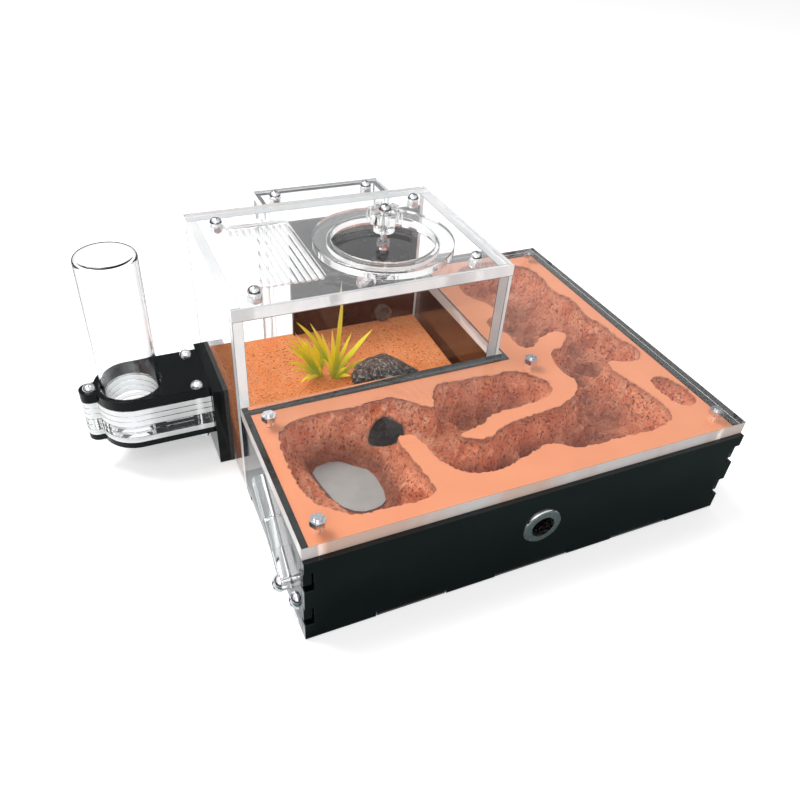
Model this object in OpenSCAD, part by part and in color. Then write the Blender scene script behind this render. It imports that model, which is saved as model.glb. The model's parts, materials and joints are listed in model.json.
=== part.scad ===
// Ant habitat: an L-shaped plaster nest in a black acrylic case under a clear screwed cover,
// a clear outworld box in the notch of the L with a slotted, lift-off top and a feeding lid,
// a narrow clear tower behind the box, and a tube feeder that hangs on the box's left wall.
// Millimetres, +Z up. The origin is on the ground, at the centre of the nest's front bar.
// Inside the modules, plan places are measured from the front left corner of the cover.

/* [Nest case] */
// Overall width of the nest
nest_w = 200; // [190:1:240]
// Depth of the front bar of the nest
bar_d = 80; // [76:1:100]
// Overall depth of the nest, side arm included
nest_d = 171; // [168:1:200]
// Width of the side arm of the nest
arm_w = 74.6; // [72:0.2:90]
// Height of the black walls
case_h = 44; // [42:1:60]
// Thickness of the black sheet of the case
sheet_t = 3.5; // [3:0.5:5]
// Distance by which the front wall stands proud of the cover
front_proud = 2; // [1:0.5:2.5]
// Thickness of the base plate
base_t = 3; // [2:0.5:5]
// Thickness of the clear cover
cover_t = 6; // [4:0.5:8]
// Gap between the plaster and the cover
headroom = 0.5; // [0.3:0.1:1]

/* [Finger joints] */
// Height of the lower finger notch above the ground
notch_low_z = 8.5; // [6:0.5:12]
// Height of the upper finger notch above the ground
notch_high_z = 28.5; // [24:0.5:32]
// Height of each finger notch
notch_h = 9.6; // [6:0.2:12]
// Distance by which a tab ends short of the bottom of its notch
tab_short = 1.4; // [0.2:0.2:3]
// Distance by which a tab ends behind the face of the front wall
tab_set_back = 1.5; // [0.5:0.5:2.5]
// Width of the outer foot tabs of the base plate along the front wall
foot_w = 30; // [20:0.5:34]

/* [Plaster chambers] */
// Height of the gallery floors above the ground
gallery_z = 29; // [20:0.5:34]
// Height of the deepest parts of the galleries above the ground
hollow_z = 22; // [14:0.5:28]
// Height of the grey floor of the founding chamber above the ground
founding_z = 20; // [14:0.5:26]
// Radius of the round shaft
shaft_r = 8.5; // [5:0.5:9]
// Thickness of the grey slab in the founding chamber
slab_t = 2; // [1:0.5:4]

/* [Cover fasteners] */
// Distance of the cover nuts from the outer edges
nut_inset = 9; // [8:0.5:10]
// Distance of the cover nuts from the rear edge of the front bar
nut_back_inset = 10.5; // [9:0.5:11]
// Distance from the side arm's inner edge to the corner nut
nut_arm_inset = 9; // [7:0.5:10]

/* [M3 hardware] */
// Radius of a screw's shank
screw_r = 1.5; // [1.25:0.25:2]
// Radius of a pan head
head_r = 2.9; // [2.6:0.1:3.5]
// Height of a pan head
head_h = 2.3; // [1.6:0.1:2.6]
// Width of a nut across its flats
nut_af = 5.5; // [5:0.1:7]
// Height of a nut
nut_h = 2.4; // [2:0.1:3]
// Radial clearance of a screw in its hole
hole_play = 0.15; // [0.1:0.05:0.3]
// Length of thread that shows past a nut
thread_show = 1; // [0.5:0.1:2]

/* [Tube port] */
// Radius of the bore of the metal grommet
port_r = 5.2; // [3:0.1:6]
// Wall of the grommet's barrel
port_wall = 0.9; // [0.6:0.1:1.2]
// Radius of the grommet's flange
port_flange_r = 8.7; // [8:0.1:10]
// Thickness of the grommet's flange
port_flange_t = 1.2; // [0.8:0.1:2]
// Height of the grommet's axis above the ground
port_z = 25.5; // [22:0.5:27]
// Distance of the grommet's axis from the left edge of the nest
port_x = 100; // [95:1:104]

/* [Side gate] */
// Thickness of the clear gate lever
lever_t = 3.6; // [2:0.2:4.2]
// Distance from the lever's pivot to its far end
lever_l = 42; // [38:1:45]
// Width of the lever's paddle
paddle_w = 9.5; // [8:0.5:11]
// Width of the lever's tail
tail_w = 6.4; // [6:0.2:8]
// Distance from the pivot to the paddle
paddle_from = 25; // [18:1:27]
// Length of the slot in the lever
lever_slot_l = 12; // [6:1:13]
// Radius of the heads of the two screws in the left wall
side_head_r = 3.6; // [3:0.1:3.8]
// Width of the slot in the lever
lever_slot_w = 2; // [1.5:0.5:3]
// Pivot's distance behind the cover's front edge
pivot_y = 16; // [14:0.5:18]
// Pivot's height above the ground
pivot_z = 14.3; // [13:0.1:16]
// Slope of the closed lever above level
lever_tilt = 36; // [30:1:40]
// Radius of the ant door that the lever covers
door_r = 3.5; // [2:0.25:4]
// Distance of the spare screw from the cover's front edge
spare_y = 8.5; // [7.5:0.5:9]
// Height of the spare screw above the ground
spare_z = 11.4; // [10.5:0.1:14]

/* [Outworld box] */
// Gap between the nest and the box
box_gap = 0.4; // [0.1:0.1:0.6]
// Distance by which the box reaches behind the nest
box_past = 2.4; // [0:0.1:6]
// Height of the box, top plate included
box_h = 95; // [88:1:120]
// Thickness of the clear sheet of the box
clear_t = 5; // [4:0.5:6]
// Height of the sand above the ground
sand_z = 22; // [19:0.5:26]
// Thickness of the sand layer
sand_t = 1.5; // [1:0.5:3]
// Thickness of the box's bottom plate
box_base_t = 3; // [2:0.5:4]
// Thickness of the dark rear panel
panel_t = 2; // [1:0.5:3]
// Width of the dark panel, from the box's right wall
panel_w = 71; // [60:1:76]
// Distance from the top of the dark panel to the top plate
panel_below = 6; // [4:1:12]

/* [Rear ports] */
// Radius of the dark plug
plug_r = 4.7; // [4:0.1:5.5]
// Radius of the clear plug
clear_plug_r = 5.2; // [4:0.1:6]
// Distance by which each plug stands proud of the panel
plug_proud = 3; // [1:0.5:5]

/* [Top plate] */
// Inset of the top plate's screws from its side edges
top_inset = 12.5; // [9:0.5:14]
// Width of the vent field
vent_w = 29; // [26:1:30]
// Length of the vent field
vent_l = 57; // [50:1:60]
// Depth of the shallow pocket around the slots
vent_pocket = 1; // [0.5:0.5:2]
// Number of vent slots
vent_count = 10; // [6:1:10]
// Width of each vent slot
vent_slot_w = 1.3; // [0.8:0.1:1.6]

/* [Feeding lid] */
// Radius of the feeding hole
feed_r = 25.3; // [20:0.1:26]
// Gap between the lid's disc and the feeding hole
feed_gap = 0.3; // [0.2:0.1:0.5]
// Outer radius of the lid's ring
ring_r = 31.8; // [30:0.1:33]
// Thickness of the lid's ring
ring_t = 4; // [3:0.5:5]
// Width by which the ring laps over the disc
ring_lap = 1.6; // [1:0.1:3]
// Radius of the knob's lower disc
hub_r = 4.8; // [4.4:0.1:6]
// Radius of the knob's notched disc
knob_r = 8; // [7:0.1:9]
// Thickness of each of the knob's discs
knob_t = 5; // [3:0.5:6]
// Height of the knob above the lid's disc
knob_lift = 7; // [4:0.5:9]

/* [Rear tower] */
// Distance from the box's right face to the tower
tower_side_inset = 20.5; // [14:0.5:26]
// Width of the tower
tower_w = 66.5; // [60:0.5:72]
// Depth of the tower behind the box
tower_d = 17; // [14:0.5:20]
// Thickness of the tower's clear sheet
tower_t = 3; // [2:0.5:3.5]
// Inset of the tower lid's screws from its ends
tower_inset = 9; // [8:0.5:12]

/* [Tube feeder] */
// Distance of the feeder's centre line behind the box's front face
feeder_setback = 42.6; // [38:0.2:48]
// Thickness of the soft pad between the feeder and the box
pad_t = 2; // [1:0.5:3]
// Thickness of the black hanger plate and of the black top plate
hanger_t = 5; // [4:0.5:6]
// Width of the black hanger plate
hanger_w = 41; // [38:1:46]
// Height of the hanger plate's top above the ground
hanger_h = 42; // [40:1:50]
// Distance from the hanger plate to the cup's axis
cup_reach = 32; // [30:1:38]
// Outer radius of the cup
cup_r = 16; // [15:0.5:18]
// Radius of the cup's bore
cup_bore_r = 11.8; // [10:0.1:12]
// Thickness of one clear layer of the cup
layer_t = 3; // [2:0.5:3.5]
// Number of clear layers below the top plate
layer_count = 6; // [4:1:7]
// Number of layers that carry the drinking channel
channel_layers = 2; // [1:1:2]
// Number of plain layers below the drinking channel
channel_from = 1; // [1:1:2]
// Seam between two layers
seam_t = 0.1; // [0.05:0.05:0.2]
// Width of the drinking channel
channel_w = 6; // [4:0.5:8]
// Thickness of the black bottom plate
bottom_t = 3; // [2:0.5:4]
// Radius of the screw ear
ear_r = 4.5; // [4:0.1:5.5]
// Distance from the cup's axis to the ear's screw
ear_reach = 17.5; // [17:0.5:19]
// Distance from the hanger plate to its two clamp screws
clamp_x = 5.2; // [4.5:0.1:7]
// Distance between the two clamp screws
clamp_pitch = 25.6; // [20:0.2:26]
// Thickness of the white strainer disc in the cup
strainer_t = 2; // [1:0.5:3]
// Outer radius of the feeder tube
tube_r = 12.6; // [12.2:0.1:13]
// Wall of the feeder tube
tube_wall = 1.2; // [0.8:0.1:1.5]
// Length of the feeder tube
tube_l = 67; // [50:1:90]
// Gap between the tube and the hole in the black top plate
tube_gap = 1; // [0.4:0.1:1.2]

/* [Planting] */
// Length of the tallest leaf
leaf_l = 41; // [25:1:45]
// Width of a leaf at its middle
leaf_w = 2.6; // [1.5:0.1:4]
// Length of the stone
stone_l = 39; // [25:1:42]
// Height of the stone
stone_h = 14; // [8:0.5:18]

/* [Hidden] */

black = [0.1, 0.12, 0.12];
clear = [0.85, 0.9, 0.92, 0.35];
steel = [0.78, 0.78, 0.8];
salmon = [0.96, 0.62, 0.47];
sand = [0.93, 0.49, 0.25];

// Overshoot of a cut past the face that it opens
eps = 1;
// Clearance of a nut's bore on its screw, and of a knob disc on its screw
thread_play = 0.05;
// Gap between bodies that slide past each other
slide_gap = 0.3;

// Plan of the nest case
arm_x = nest_w - arm_w;
inside_front = sheet_t - front_proud;
bar_back = bar_d + front_proud;
inside_back = bar_back - sheet_t;
cover_z = case_h;
cover_top = case_h + cover_t;
plaster_top = case_h - headroom;
notch_play = 0.2;
notch_w = sheet_t + notch_play;

// Plan of the box and of what leans on it
box_y = bar_back + box_gap;
box_w = arm_x - box_gap;
box_back = nest_d + box_past;
box_d = box_back - box_y;
box_wall_h = box_h - clear_t;
tower_x = box_w - tower_side_inset - tower_w;
tower_y = box_back;
stone_spot = [box_w - 43, box_y + 31];
plant_spot = [box_w - 67.5, box_y + 43];
hole_r = screw_r + hole_play;

// The chambers are drawn on a nest of this plan: the arm's corner and the far corner
drawn_corner = [125.4, 80];
drawn_far = [200, 171];

// A drawn coordinate, stretched to the present nest on each side of the arm's corner
function stretch(v, knee, knee_now, far, far_now) =
    v < knee ? v * knee_now / knee : knee_now + (v - knee) * (far_now - knee_now) / (far - knee);
function spot(p) = [
    stretch(p[0], drawn_corner[0], arm_x, drawn_far[0], nest_w),
    stretch(p[1], drawn_corner[1], bar_d, drawn_far[1], nest_d)];

// Rim of the connected galleries, clockwise from the founding chamber
gallery_rim = [
    [9, 54], [11, 64], [19, 71], [32, 72], [47, 68], [58, 70], [68, 65], [79, 59], [83, 68],
    [89, 73], [98, 71], [107, 72], [115, 69], [124, 71], [132, 66], [138, 56], [133, 48], [120, 46],
    [101, 46], [94, 41], [79, 38], [86, 33], [94, 32], [102, 38], [124, 39], [138, 41], [151, 51],
    [147, 64], [151, 78], [160, 79], [169, 89], [165, 93], [155, 91], [145, 83], [139, 86],
    [140, 98], [135, 113], [147, 119], [148, 127], [141, 137], [139, 148], [146, 161], [160, 164],
    [181, 161], [190, 150], [185, 127], [192, 116], [188, 100], [192, 90], [191, 76], [196, 66],
    [190, 57], [182, 58], [175, 63], [171, 58], [174, 45], [179, 22], [170, 12], [140, 14],
    [125, 13], [114, 22], [104, 18], [86, 14], [74, 16], [65, 29], [65, 42], [60, 47], [54, 45],
    [57, 23], [50, 10], [39, 10], [30, 13], [22, 13], [11, 27], [10, 42]];
// Rim of the small blind pit
pit_rim = [[182, 39], [186, 44], [192, 42], [196, 31], [194, 22], [188, 20], [183, 24]];
// Floor of the founding chamber
founding_rim = [
    [24, 63], [36, 65], [43, 58], [49, 53], [49, 36], [44, 32], [35, 32], [28, 39], [25, 53]];
// Centre and radius of each deeper hollow along the galleries
hollows = [
    [99, 61, 8], [111, 60, 8], [122, 58, 8], [78, 26, 6.5], [89, 24, 6], [101, 27, 6],
    [114, 31, 5.5], [127, 27, 8], [140, 28, 9], [153, 30, 10], [163, 42, 9], [162, 56, 7],
    [165, 70, 6], [178, 76, 8], [180, 92, 7], [176, 106, 8], [162, 104, 8], [150, 101, 6],
    [164, 120, 10], [170, 136, 11], [156, 146, 9]];
shaft_spot = spot([58, 61]);

// One round of corner cutting: each corner gives way to two points at its quarters
function rounded(ring) = [
    for (i = [0:len(ring) - 1])
        let (a = ring[i], b = ring[(i + 1) % len(ring)])
            each [a * 0.75 + b * 0.25, a * 0.25 + b * 0.75]];

// Upright cuts that share the plaster block out into cells; one passes along the tube port
// and one through the shaft
plaster_columns = [0, nest_w * 0.145, shaft_spot[0], nest_w * 0.395, port_x, arm_x + sheet_t,
    nest_w * 0.825, nest_w];
arm_run = nest_d - sheet_t - inside_back;
plaster_rows = [0, bar_d / 2, inside_back, inside_back + arm_run / 3,
    inside_back + arm_run * 2 / 3, nest_d];

cover_spots = [
    [nut_inset, nut_inset],
    [nut_inset, bar_d - nut_back_inset],
    [arm_x + nut_arm_inset, bar_d - nut_back_inset],
    [nest_w - nut_inset, nut_inset],
    [nest_w - nut_inset, nest_d - nut_inset]];

// Foot tabs of the base plate, as middle and width: along the front wall and along the left wall
foot_play = 0.4;
foot_back = 0.3;
front_feet = [[nest_w * 0.2225, foot_w], [nest_w * 0.503, foot_w + 4.8], [nest_w * 0.786, foot_w]];
side_feet = [[bar_d * 0.285, foot_w + 1.5], [bar_d * 0.78, foot_w - 4.5]];

// Hole that takes the grommet's barrel, and runs on to the nearest gallery
port_hole_r = port_r + port_wall + thread_play;

// Side gate: the pivot, the door under the paddle and the plane of the lever
lever_out = slide_gap + lever_t;
door_from_pivot = lever_l - paddle_w / 2;
door_y = pivot_y + door_from_pivot * cos(lever_tilt);
door_z = pivot_z + door_from_pivot * sin(lever_tilt);
door_depth = 14;

// Top plate: screws, vent field and feeding hole
top_spots = [
    for (x = [top_inset, box_w - top_inset])
        for (y = [box_y + top_inset, box_back - top_inset]) [x, y]];
vent_margin = 15;
vent_pitch = vent_w / vent_count;
vent_y = box_y + (box_d - vent_l) / 2 - 2.5;
feed_x = box_w - 47.8;
feed_y = box_y + 34.5;
disc_r = feed_r - feed_gap;
hub_z = box_h + knob_lift;
knob_z = hub_z + knob_t;
knob_teeth = 6;

// Rear ports, measured from the box's right side
plug_x = box_w - 24.5;
plug_z = sand_z + plug_r + 2.3;
clear_plug_x = box_w - 34.5;
clear_plug_z = plug_z + 17;

tower_spots = [
    for (x = [tower_x + tower_inset, tower_x + tower_w - tower_inset])
        [x, tower_y + tower_d / 2 + 1]];
tower_lid_t = 4;

// Tube feeder, from the box's left face outwards
hanger_x = -pad_t - hanger_t;
feeder_y = box_y + feeder_setback;
cup_x = hanger_x - cup_reach;
feeder_top_z = hanger_h - hanger_t;
stack_h = layer_count * layer_t;
cup_floor_z = feeder_top_z - stack_h;
bottom_z = cup_floor_z - bottom_t;
strainer_play = 0.3;
feeder_spots = [
    [cup_x - ear_reach, feeder_y],
    [hanger_x - clamp_x, feeder_y - clamp_pitch / 2],
    [hanger_x - clamp_x, feeder_y + clamp_pitch / 2]];
channel_h = channel_layers * layer_t;
channel_port_r = channel_h / 2;
channel_port_z = cup_floor_z + channel_from * layer_t + channel_h / 2;

$fn = 64;

// ---- helpers ----

// Moves plan places from the front left corner of the cover to the part's origin
module from_corner() {
    translate([-nest_w / 2, -bar_d / 2, 0]) children();
}

// A plate from low corner a to high corner b
module slab(a, b) {
    translate(a) cube(b - a);
}

// Vertical holes of radius r through a plate between two heights
module holes(spots, r, from_z, to_z) {
    for (p = spots) {
        translate([p[0], p[1], from_z - eps]) cylinder(h = to_z - from_z + 2 * eps, r = r);
    }
}

// Pan head standing on z = 0: a ball's cap with a cross recess
module pan_head(r = head_r) {
    rise = head_h * r / head_r;
    ball_r = (r * r + rise * rise) / (2 * rise);
    difference() {
        intersection() {
            translate([0, 0, rise - ball_r]) sphere(r = ball_r);
            cylinder(h = rise, r = r);
        }
        for (turn = [0, 90]) {
            rotate([0, 0, turn]) translate([-r * 0.55, -r * 0.12, rise * 0.55])
                cube([r * 1.1, r * 0.24, rise]);
        }
    }
}

// Pan-head screw hanging from z = 0, with its shank of the given length below
module pan_screw(length, r = head_r) {
    pan_head(r);
    translate([0, 0, -length]) cylinder(h = length, r = screw_r);
}

// Hexagon nut standing on z = 0, its corners rounded off by a ball
module hex_nut() {
    corner_r = nut_af / sqrt(3);
    ball_r = sqrt(pow(corner_r * 0.96, 2) + pow(nut_h / 2, 2));
    difference() {
        intersection() {
            cylinder(h = nut_h, r = corner_r, $fn = 6);
            translate([0, 0, nut_h / 2]) sphere(r = ball_r);
        }
        translate([0, 0, -eps]) cylinder(h = nut_h + 2 * eps, r = screw_r + thread_play);
    }
}

// The L of the plaster and of the base plate, inside the walls
module inside_plan() {
    polygon([
        [sheet_t, inside_front], [nest_w - sheet_t, inside_front],
        [nest_w - sheet_t, nest_d - sheet_t], [arm_x + sheet_t, nest_d - sheet_t],
        [arm_x + sheet_t, inside_back], [sheet_t, inside_back]]);
}

// A drawn ring of chamber points as an area on the present nest
module chamber_plan(ring) {
    polygon([for (p = rounded(ring)) spot(p)]);
}

// The two finger notches at one end of the front wall
module finger_notches(from_x, to_x) {
    for (z = [notch_low_z, notch_high_z]) {
        slab([from_x, -front_proud - eps, z], [to_x, inside_front + eps, z + notch_h]);
    }
}

// The two tabs of a side wall that fill those notches
module finger_tabs(x) {
    for (z = [notch_low_z, notch_high_z]) {
        slab([x, tab_set_back - front_proud, z + tab_short], [x + sheet_t, inside_front, z + notch_h]);
    }
}

// ---- nest case ----

module base_plate() {
    color(black) from_corner() difference() {
        union() {
            linear_extrude(base_t) inside_plan();
            for (f = front_feet) {
                slab([f[0] - f[1] / 2, foot_back - front_proud, 0], [f[0] + f[1] / 2, inside_front, base_t]);
            }
            for (f = side_feet) {
                slab([foot_back, f[0] - f[1] / 2, 0], [sheet_t, f[0] + f[1] / 2, base_t]);
            }
        }
        holes(cover_spots, hole_r, 0, base_t);
    }
}

module front_wall() {
    color(black) from_corner() difference() {
        slab([0, -front_proud, 0], [nest_w, inside_front, case_h]);
        finger_notches(-eps, notch_w);
        finger_notches(nest_w - notch_w, nest_w + eps);
        for (f = front_feet) {
            half = f[1] / 2 + foot_play;
            slab([f[0] - half, -front_proud - eps, -eps], [f[0] + half, inside_front + eps, base_t]);
        }
        translate([port_x, -front_proud - eps, port_z]) rotate([-90, 0, 0])
            cylinder(h = sheet_t + 2 * eps, r = port_hole_r);
    }
}

module left_wall() {
    color(black) from_corner() difference() {
        union() {
            slab([0, inside_front, 0], [sheet_t, inside_back, case_h]);
            finger_tabs(0);
        }
        translate([-eps, door_y, door_z]) rotate([0, 90, 0]) cylinder(h = sheet_t + 2 * eps, r = door_r);
        for (p = [[pivot_y, pivot_z], [spare_y, spare_z]]) {
            translate([-eps, p[0], p[1]]) rotate([0, 90, 0]) cylinder(h = sheet_t + 2 * eps, r = hole_r);
        }
        for (f = side_feet) {
            half = f[1] / 2 + foot_play;
            slab([-eps, f[0] - half, -eps], [sheet_t + eps, f[0] + half, base_t]);
        }
    }
}

module right_wall() {
    color(black) from_corner() {
        slab([nest_w - sheet_t, inside_front, 0], [nest_w, nest_d - sheet_t, case_h]);
        finger_tabs(nest_w - sheet_t);
    }
}

module rear_wall() {
    color(black) from_corner() slab([arm_x, nest_d - sheet_t, 0], [nest_w, nest_d, case_h]);
}

module inner_front_wall() {
    color(black) from_corner() slab([0, inside_back, 0], [arm_x + sheet_t, bar_back, case_h]);
}

module inner_side_wall() {
    color(black) from_corner()
        slab([arm_x, bar_back, 0], [arm_x + sheet_t, nest_d - sheet_t, case_h]);
}

// The whole block of the nest: one casting in the real object
module plaster_block() {
    screw_pocket = nut_af / 2 + 1;
    difference() {
        translate([0, 0, base_t]) linear_extrude(plaster_top - base_t) inside_plan();
        translate([0, 0, gallery_z]) linear_extrude(case_h) {
            chamber_plan(gallery_rim);
            chamber_plan(pit_rim);
        }
        translate([0, 0, founding_z - slab_t]) linear_extrude(case_h) chamber_plan(founding_rim);
        for (h = hollows) {
            centre = spot([h[0], h[1]]);
            translate([centre[0], centre[1], hollow_z]) cylinder(h = case_h, r = h[2]);
        }
        translate([shaft_spot[0], shaft_spot[1], base_t + 4]) cylinder(h = case_h, r = shaft_r);
        holes(cover_spots, hole_r, base_t, plaster_top);
        translate([port_x, 0, port_z]) rotate([-90, 0, 0]) cylinder(h = spot([0, 24])[1], r = port_hole_r);
        translate([sheet_t - eps, door_y, door_z]) rotate([0, 90, 0])
            cylinder(h = door_depth, r = door_r);
        for (p = [[pivot_y, pivot_z], [spare_y, spare_z]]) {
            translate([sheet_t - eps, p[0], p[1]]) rotate([0, 90, 0])
                cylinder(h = nut_h + 3 * eps, r = screw_pocket);
        }
    }
}

// Every second cell of the block both ways. Four such nodes make up the block, so that each
// cell is a simple form between upright cuts.
module plaster_cells(first_column, first_row) {
    color(salmon) from_corner() intersection() {
        plaster_block();
        for (i = [first_column:2:len(plaster_columns) - 2]) {
            for (j = [first_row:2:len(plaster_rows) - 2]) {
                if (j < 2 || i > 4) {
                    slab([plaster_columns[i], plaster_rows[j], 0],
                        [plaster_columns[i + 1], plaster_rows[j + 1], case_h]);
                }
            }
        }
    }
}

module nest_plaster_a() {
    plaster_cells(0, 0);
}

module nest_plaster_b() {
    plaster_cells(1, 0);
}

module nest_plaster_c() {
    plaster_cells(0, 1);
}

module nest_plaster_d() {
    plaster_cells(1, 1);
}

module founding_slab() {
    color("silver") from_corner() translate([0, 0, founding_z - slab_t])
        linear_extrude(slab_t) chamber_plan(founding_rim);
}

module nest_cover() {
    color(clear) from_corner() difference() {
        translate([0, 0, cover_z]) linear_extrude(cover_t) polygon([
            [0, 0], [nest_w, 0], [nest_w, nest_d], [arm_x, nest_d], [arm_x, bar_d], [0, bar_d]]);
        holes(cover_spots, hole_r, cover_z, cover_top);
    }
}

module cover_screws() {
    color(steel) from_corner() for (p = cover_spots) {
        translate([p[0], p[1], 0]) cylinder(h = cover_top + nut_h + thread_show, r = screw_r);
    }
}

module cover_nuts() {
    color(steel) from_corner() for (p = cover_spots) {
        translate([p[0], p[1], cover_top]) hex_nut();
    }
}

// Metal eyelet: a domed flange on the wall and a barrel through it
module tube_grommet() {
    barrel_r = port_r + port_wall;
    barrel_l = sheet_t + 0.5;
    dome_r = port_flange_t * 0.8;
    color(steel) from_corner() translate([port_x, -front_proud, port_z]) rotate([90, 0, 0])
        rotate_extrude() difference() {
            union() {
                translate([port_r, -barrel_l]) square([port_wall, barrel_l]);
                translate([port_r, 0]) square([port_flange_r - port_r - dome_r, port_flange_t]);
                translate([port_flange_r - dome_r, 0]) square([dome_r, port_flange_t - dome_r]);
                translate([port_flange_r - dome_r, port_flange_t - dome_r]) circle(r = dome_r);
            }
            translate([0, -barrel_l - eps]) square([port_r, barrel_l + port_flange_t + 3 * eps]);
            translate([port_r + port_wall, -eps - dome_r]) square([port_flange_r, eps + dome_r]);
        }
}

// ---- side gate ----

// Places its children on the outer face of the left wall, with z pointing away from the wall
// and x running along the closed lever from the pivot
module on_left_wall(y, z, turn) {
    translate([0, y, z]) rotate([turn, 0, 0]) rotate([90, 0, -90]) mirror([1, 0, 0]) children();
}

module gate_lever() {
    end_r = 1.5;
    slot_from = paddle_from - lever_slot_l;
    color(clear) from_corner() on_left_wall(pivot_y, pivot_z, lever_tilt)
        translate([0, 0, slide_gap]) difference() {
            union() {
                cylinder(h = lever_t, r = tail_w / 2);
                slab([0, -tail_w / 2, 0], [paddle_from + eps, tail_w / 2, lever_t]);
                slab([paddle_from, -paddle_w / 2, 0], [lever_l - end_r, paddle_w / 2, lever_t]);
                slab([paddle_from, end_r - paddle_w / 2, 0], [lever_l, paddle_w / 2 - end_r, lever_t]);
                for (side = [-1, 1]) {
                    translate([lever_l - end_r, side * (paddle_w / 2 - end_r), 0])
                        cylinder(h = lever_t, r = end_r);
                }
            }
            translate([0, 0, -eps]) cylinder(h = lever_t + 2 * eps, r = screw_r + thread_play);
            slab([slot_from, -lever_slot_w / 2, -eps],
                [slot_from + lever_slot_l, lever_slot_w / 2, lever_t + eps]);
        }
}

module gate_pivot_screw() {
    length = lever_out + slide_gap + sheet_t + nut_h + thread_show;
    color(steel) from_corner() on_left_wall(pivot_y, pivot_z, 0)
        translate([0, 0, lever_out + slide_gap]) pan_screw(length, side_head_r);
}

module spare_screw() {
    color(steel) from_corner() on_left_wall(spare_y, spare_z, 0)
        pan_screw(sheet_t + nut_h + thread_show, side_head_r);
}

module side_screw_nuts() {
    color(steel) from_corner() for (p = [[pivot_y, pivot_z], [spare_y, spare_z]]) {
        translate([sheet_t, p[0], p[1]]) rotate([0, 90, 0]) hex_nut();
    }
}

// ---- outworld box ----

module box_base() {
    color(clear) from_corner()
        slab([clear_t, box_y + clear_t, 0], [box_w - clear_t, box_back - clear_t, box_base_t]);
}

module box_plaster() {
    color([0.75, 0.36, 0.18]) from_corner() slab([clear_t, box_y + clear_t, box_base_t],
        [box_w - clear_t, box_back - clear_t, sand_z - sand_t]);
}

module sand_layer() {
    color(sand) from_corner() slab([clear_t, box_y + clear_t, sand_z - sand_t],
        [box_w - clear_t, box_back - clear_t, sand_z]);
}

module box_front_wall() {
    color(clear) from_corner() slab([0, box_y, 0], [box_w, box_y + clear_t, box_wall_h]);
}

// Cuts the two port holes along Y between two planes
module port_holes(from_y, to_y) {
    for (p = [[plug_x, plug_z, plug_r], [clear_plug_x, clear_plug_z, clear_plug_r]]) {
        translate([p[0], from_y - eps, p[1]]) rotate([-90, 0, 0])
            cylinder(h = to_y - from_y + 2 * eps, r = p[2] + thread_play);
    }
}

module box_back_wall() {
    color(clear) from_corner() difference() {
        slab([0, box_back - clear_t, 0], [box_w, box_back, box_wall_h]);
        port_holes(box_back - clear_t, box_back);
    }
}

module box_left_wall() {
    color(clear) from_corner() difference() {
        slab([0, box_y + clear_t, 0], [clear_t, box_back - clear_t, box_wall_h]);
        translate([-eps, feeder_y, channel_port_z]) rotate([0, 90, 0])
            cylinder(h = clear_t + 2 * eps, r = channel_port_r);
    }
}

module box_right_wall() {
    color(clear) from_corner()
        slab([box_w - clear_t, box_y + clear_t, 0], [box_w, box_back - clear_t, box_wall_h]);
}

module dark_panel() {
    panel_back = box_back - clear_t;
    color(black) from_corner() difference() {
        slab([box_w - clear_t - panel_w, panel_back - panel_t, sand_z],
            [box_w - clear_t, panel_back, box_wall_h - panel_below]);
        port_holes(panel_back - panel_t, panel_back);
    }
}

// A plug of radius r from in front of the dark panel to the back of the wall, with a blind bore
module port_plug(x, z, r) {
    length = plug_proud + panel_t + clear_t;
    translate([x, box_back - length, z]) rotate([-90, 0, 0]) difference() {
        cylinder(h = length, r = r);
        translate([0, 0, -eps]) cylinder(h = length / 2, r = r * 0.72);
    }
}

module dark_plug() {
    color(black) from_corner() port_plug(plug_x, plug_z, plug_r);
}

module clear_plug() {
    color(clear) from_corner() port_plug(clear_plug_x, clear_plug_z, clear_plug_r);
}

// Stone: a low, uneven hull of rough blobs that stands on the sand, cut flat below
module stone() {
    color([0.25, 0.24, 0.23]) from_corner() translate([stone_spot[0], stone_spot[1], sand_z])
        rotate([0, 0, -8]) intersection() {
            hull() {
                for (b = [[-0.3, 0.02, 0.28, 0.22], [0, 0.1, 0.5, 0.26], [0.24, 0, 0.38, 0.22],
                        [-0.1, -0.14, 0.36, 0.2]]) {
                    translate([b[0] * stone_l, b[1] * stone_l, b[2] * stone_h])
                        sphere(r = b[3] * stone_l, $fn = 12);
                }
            }
            slab([-stone_l, -stone_l, 0], [stone_l, stone_l, stone_h]);
        }
}

// One leaf from the origin: a four-sided blade that narrows to its tip and bows over.
// At each step the width follows a half sine and the bow grows with the square of the height.
module leaf(length, heading, lean, bow) {
    steps = 6;
    thick = 0.5;
    ring = [for (i = [0:steps])
        let (t = i / steps, w = leaf_w / 2 * (0.35 + 0.75 * sin(180 * min(t + 0.12, 0.97))),
            out = length * (sin(lean) * t + bow * t * t), up = length * cos(lean) * t)
            each [[out, -w, up], [out + thick, 0, up + thick * 0.3], [out, w, up],
                [out - thick, 0, up - thick * 0.3]]];
    sides = [for (i = [0:steps - 1]) for (j = [0:3])
        let (a = i * 4 + j, b = i * 4 + (j + 1) % 4)
            each [[a, b, a + 4], [b, b + 4, a + 4]]];
    caps = [[0, 3, 2], [0, 2, 1], [4 * steps, 4 * steps + 1, 4 * steps + 2],
        [4 * steps, 4 * steps + 2, 4 * steps + 3]];
    rotate([0, 0, heading]) polyhedron(points = ring,
        faces = [for (f = concat(sides, caps)) [f[2], f[1], f[0]]]);
}

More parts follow.
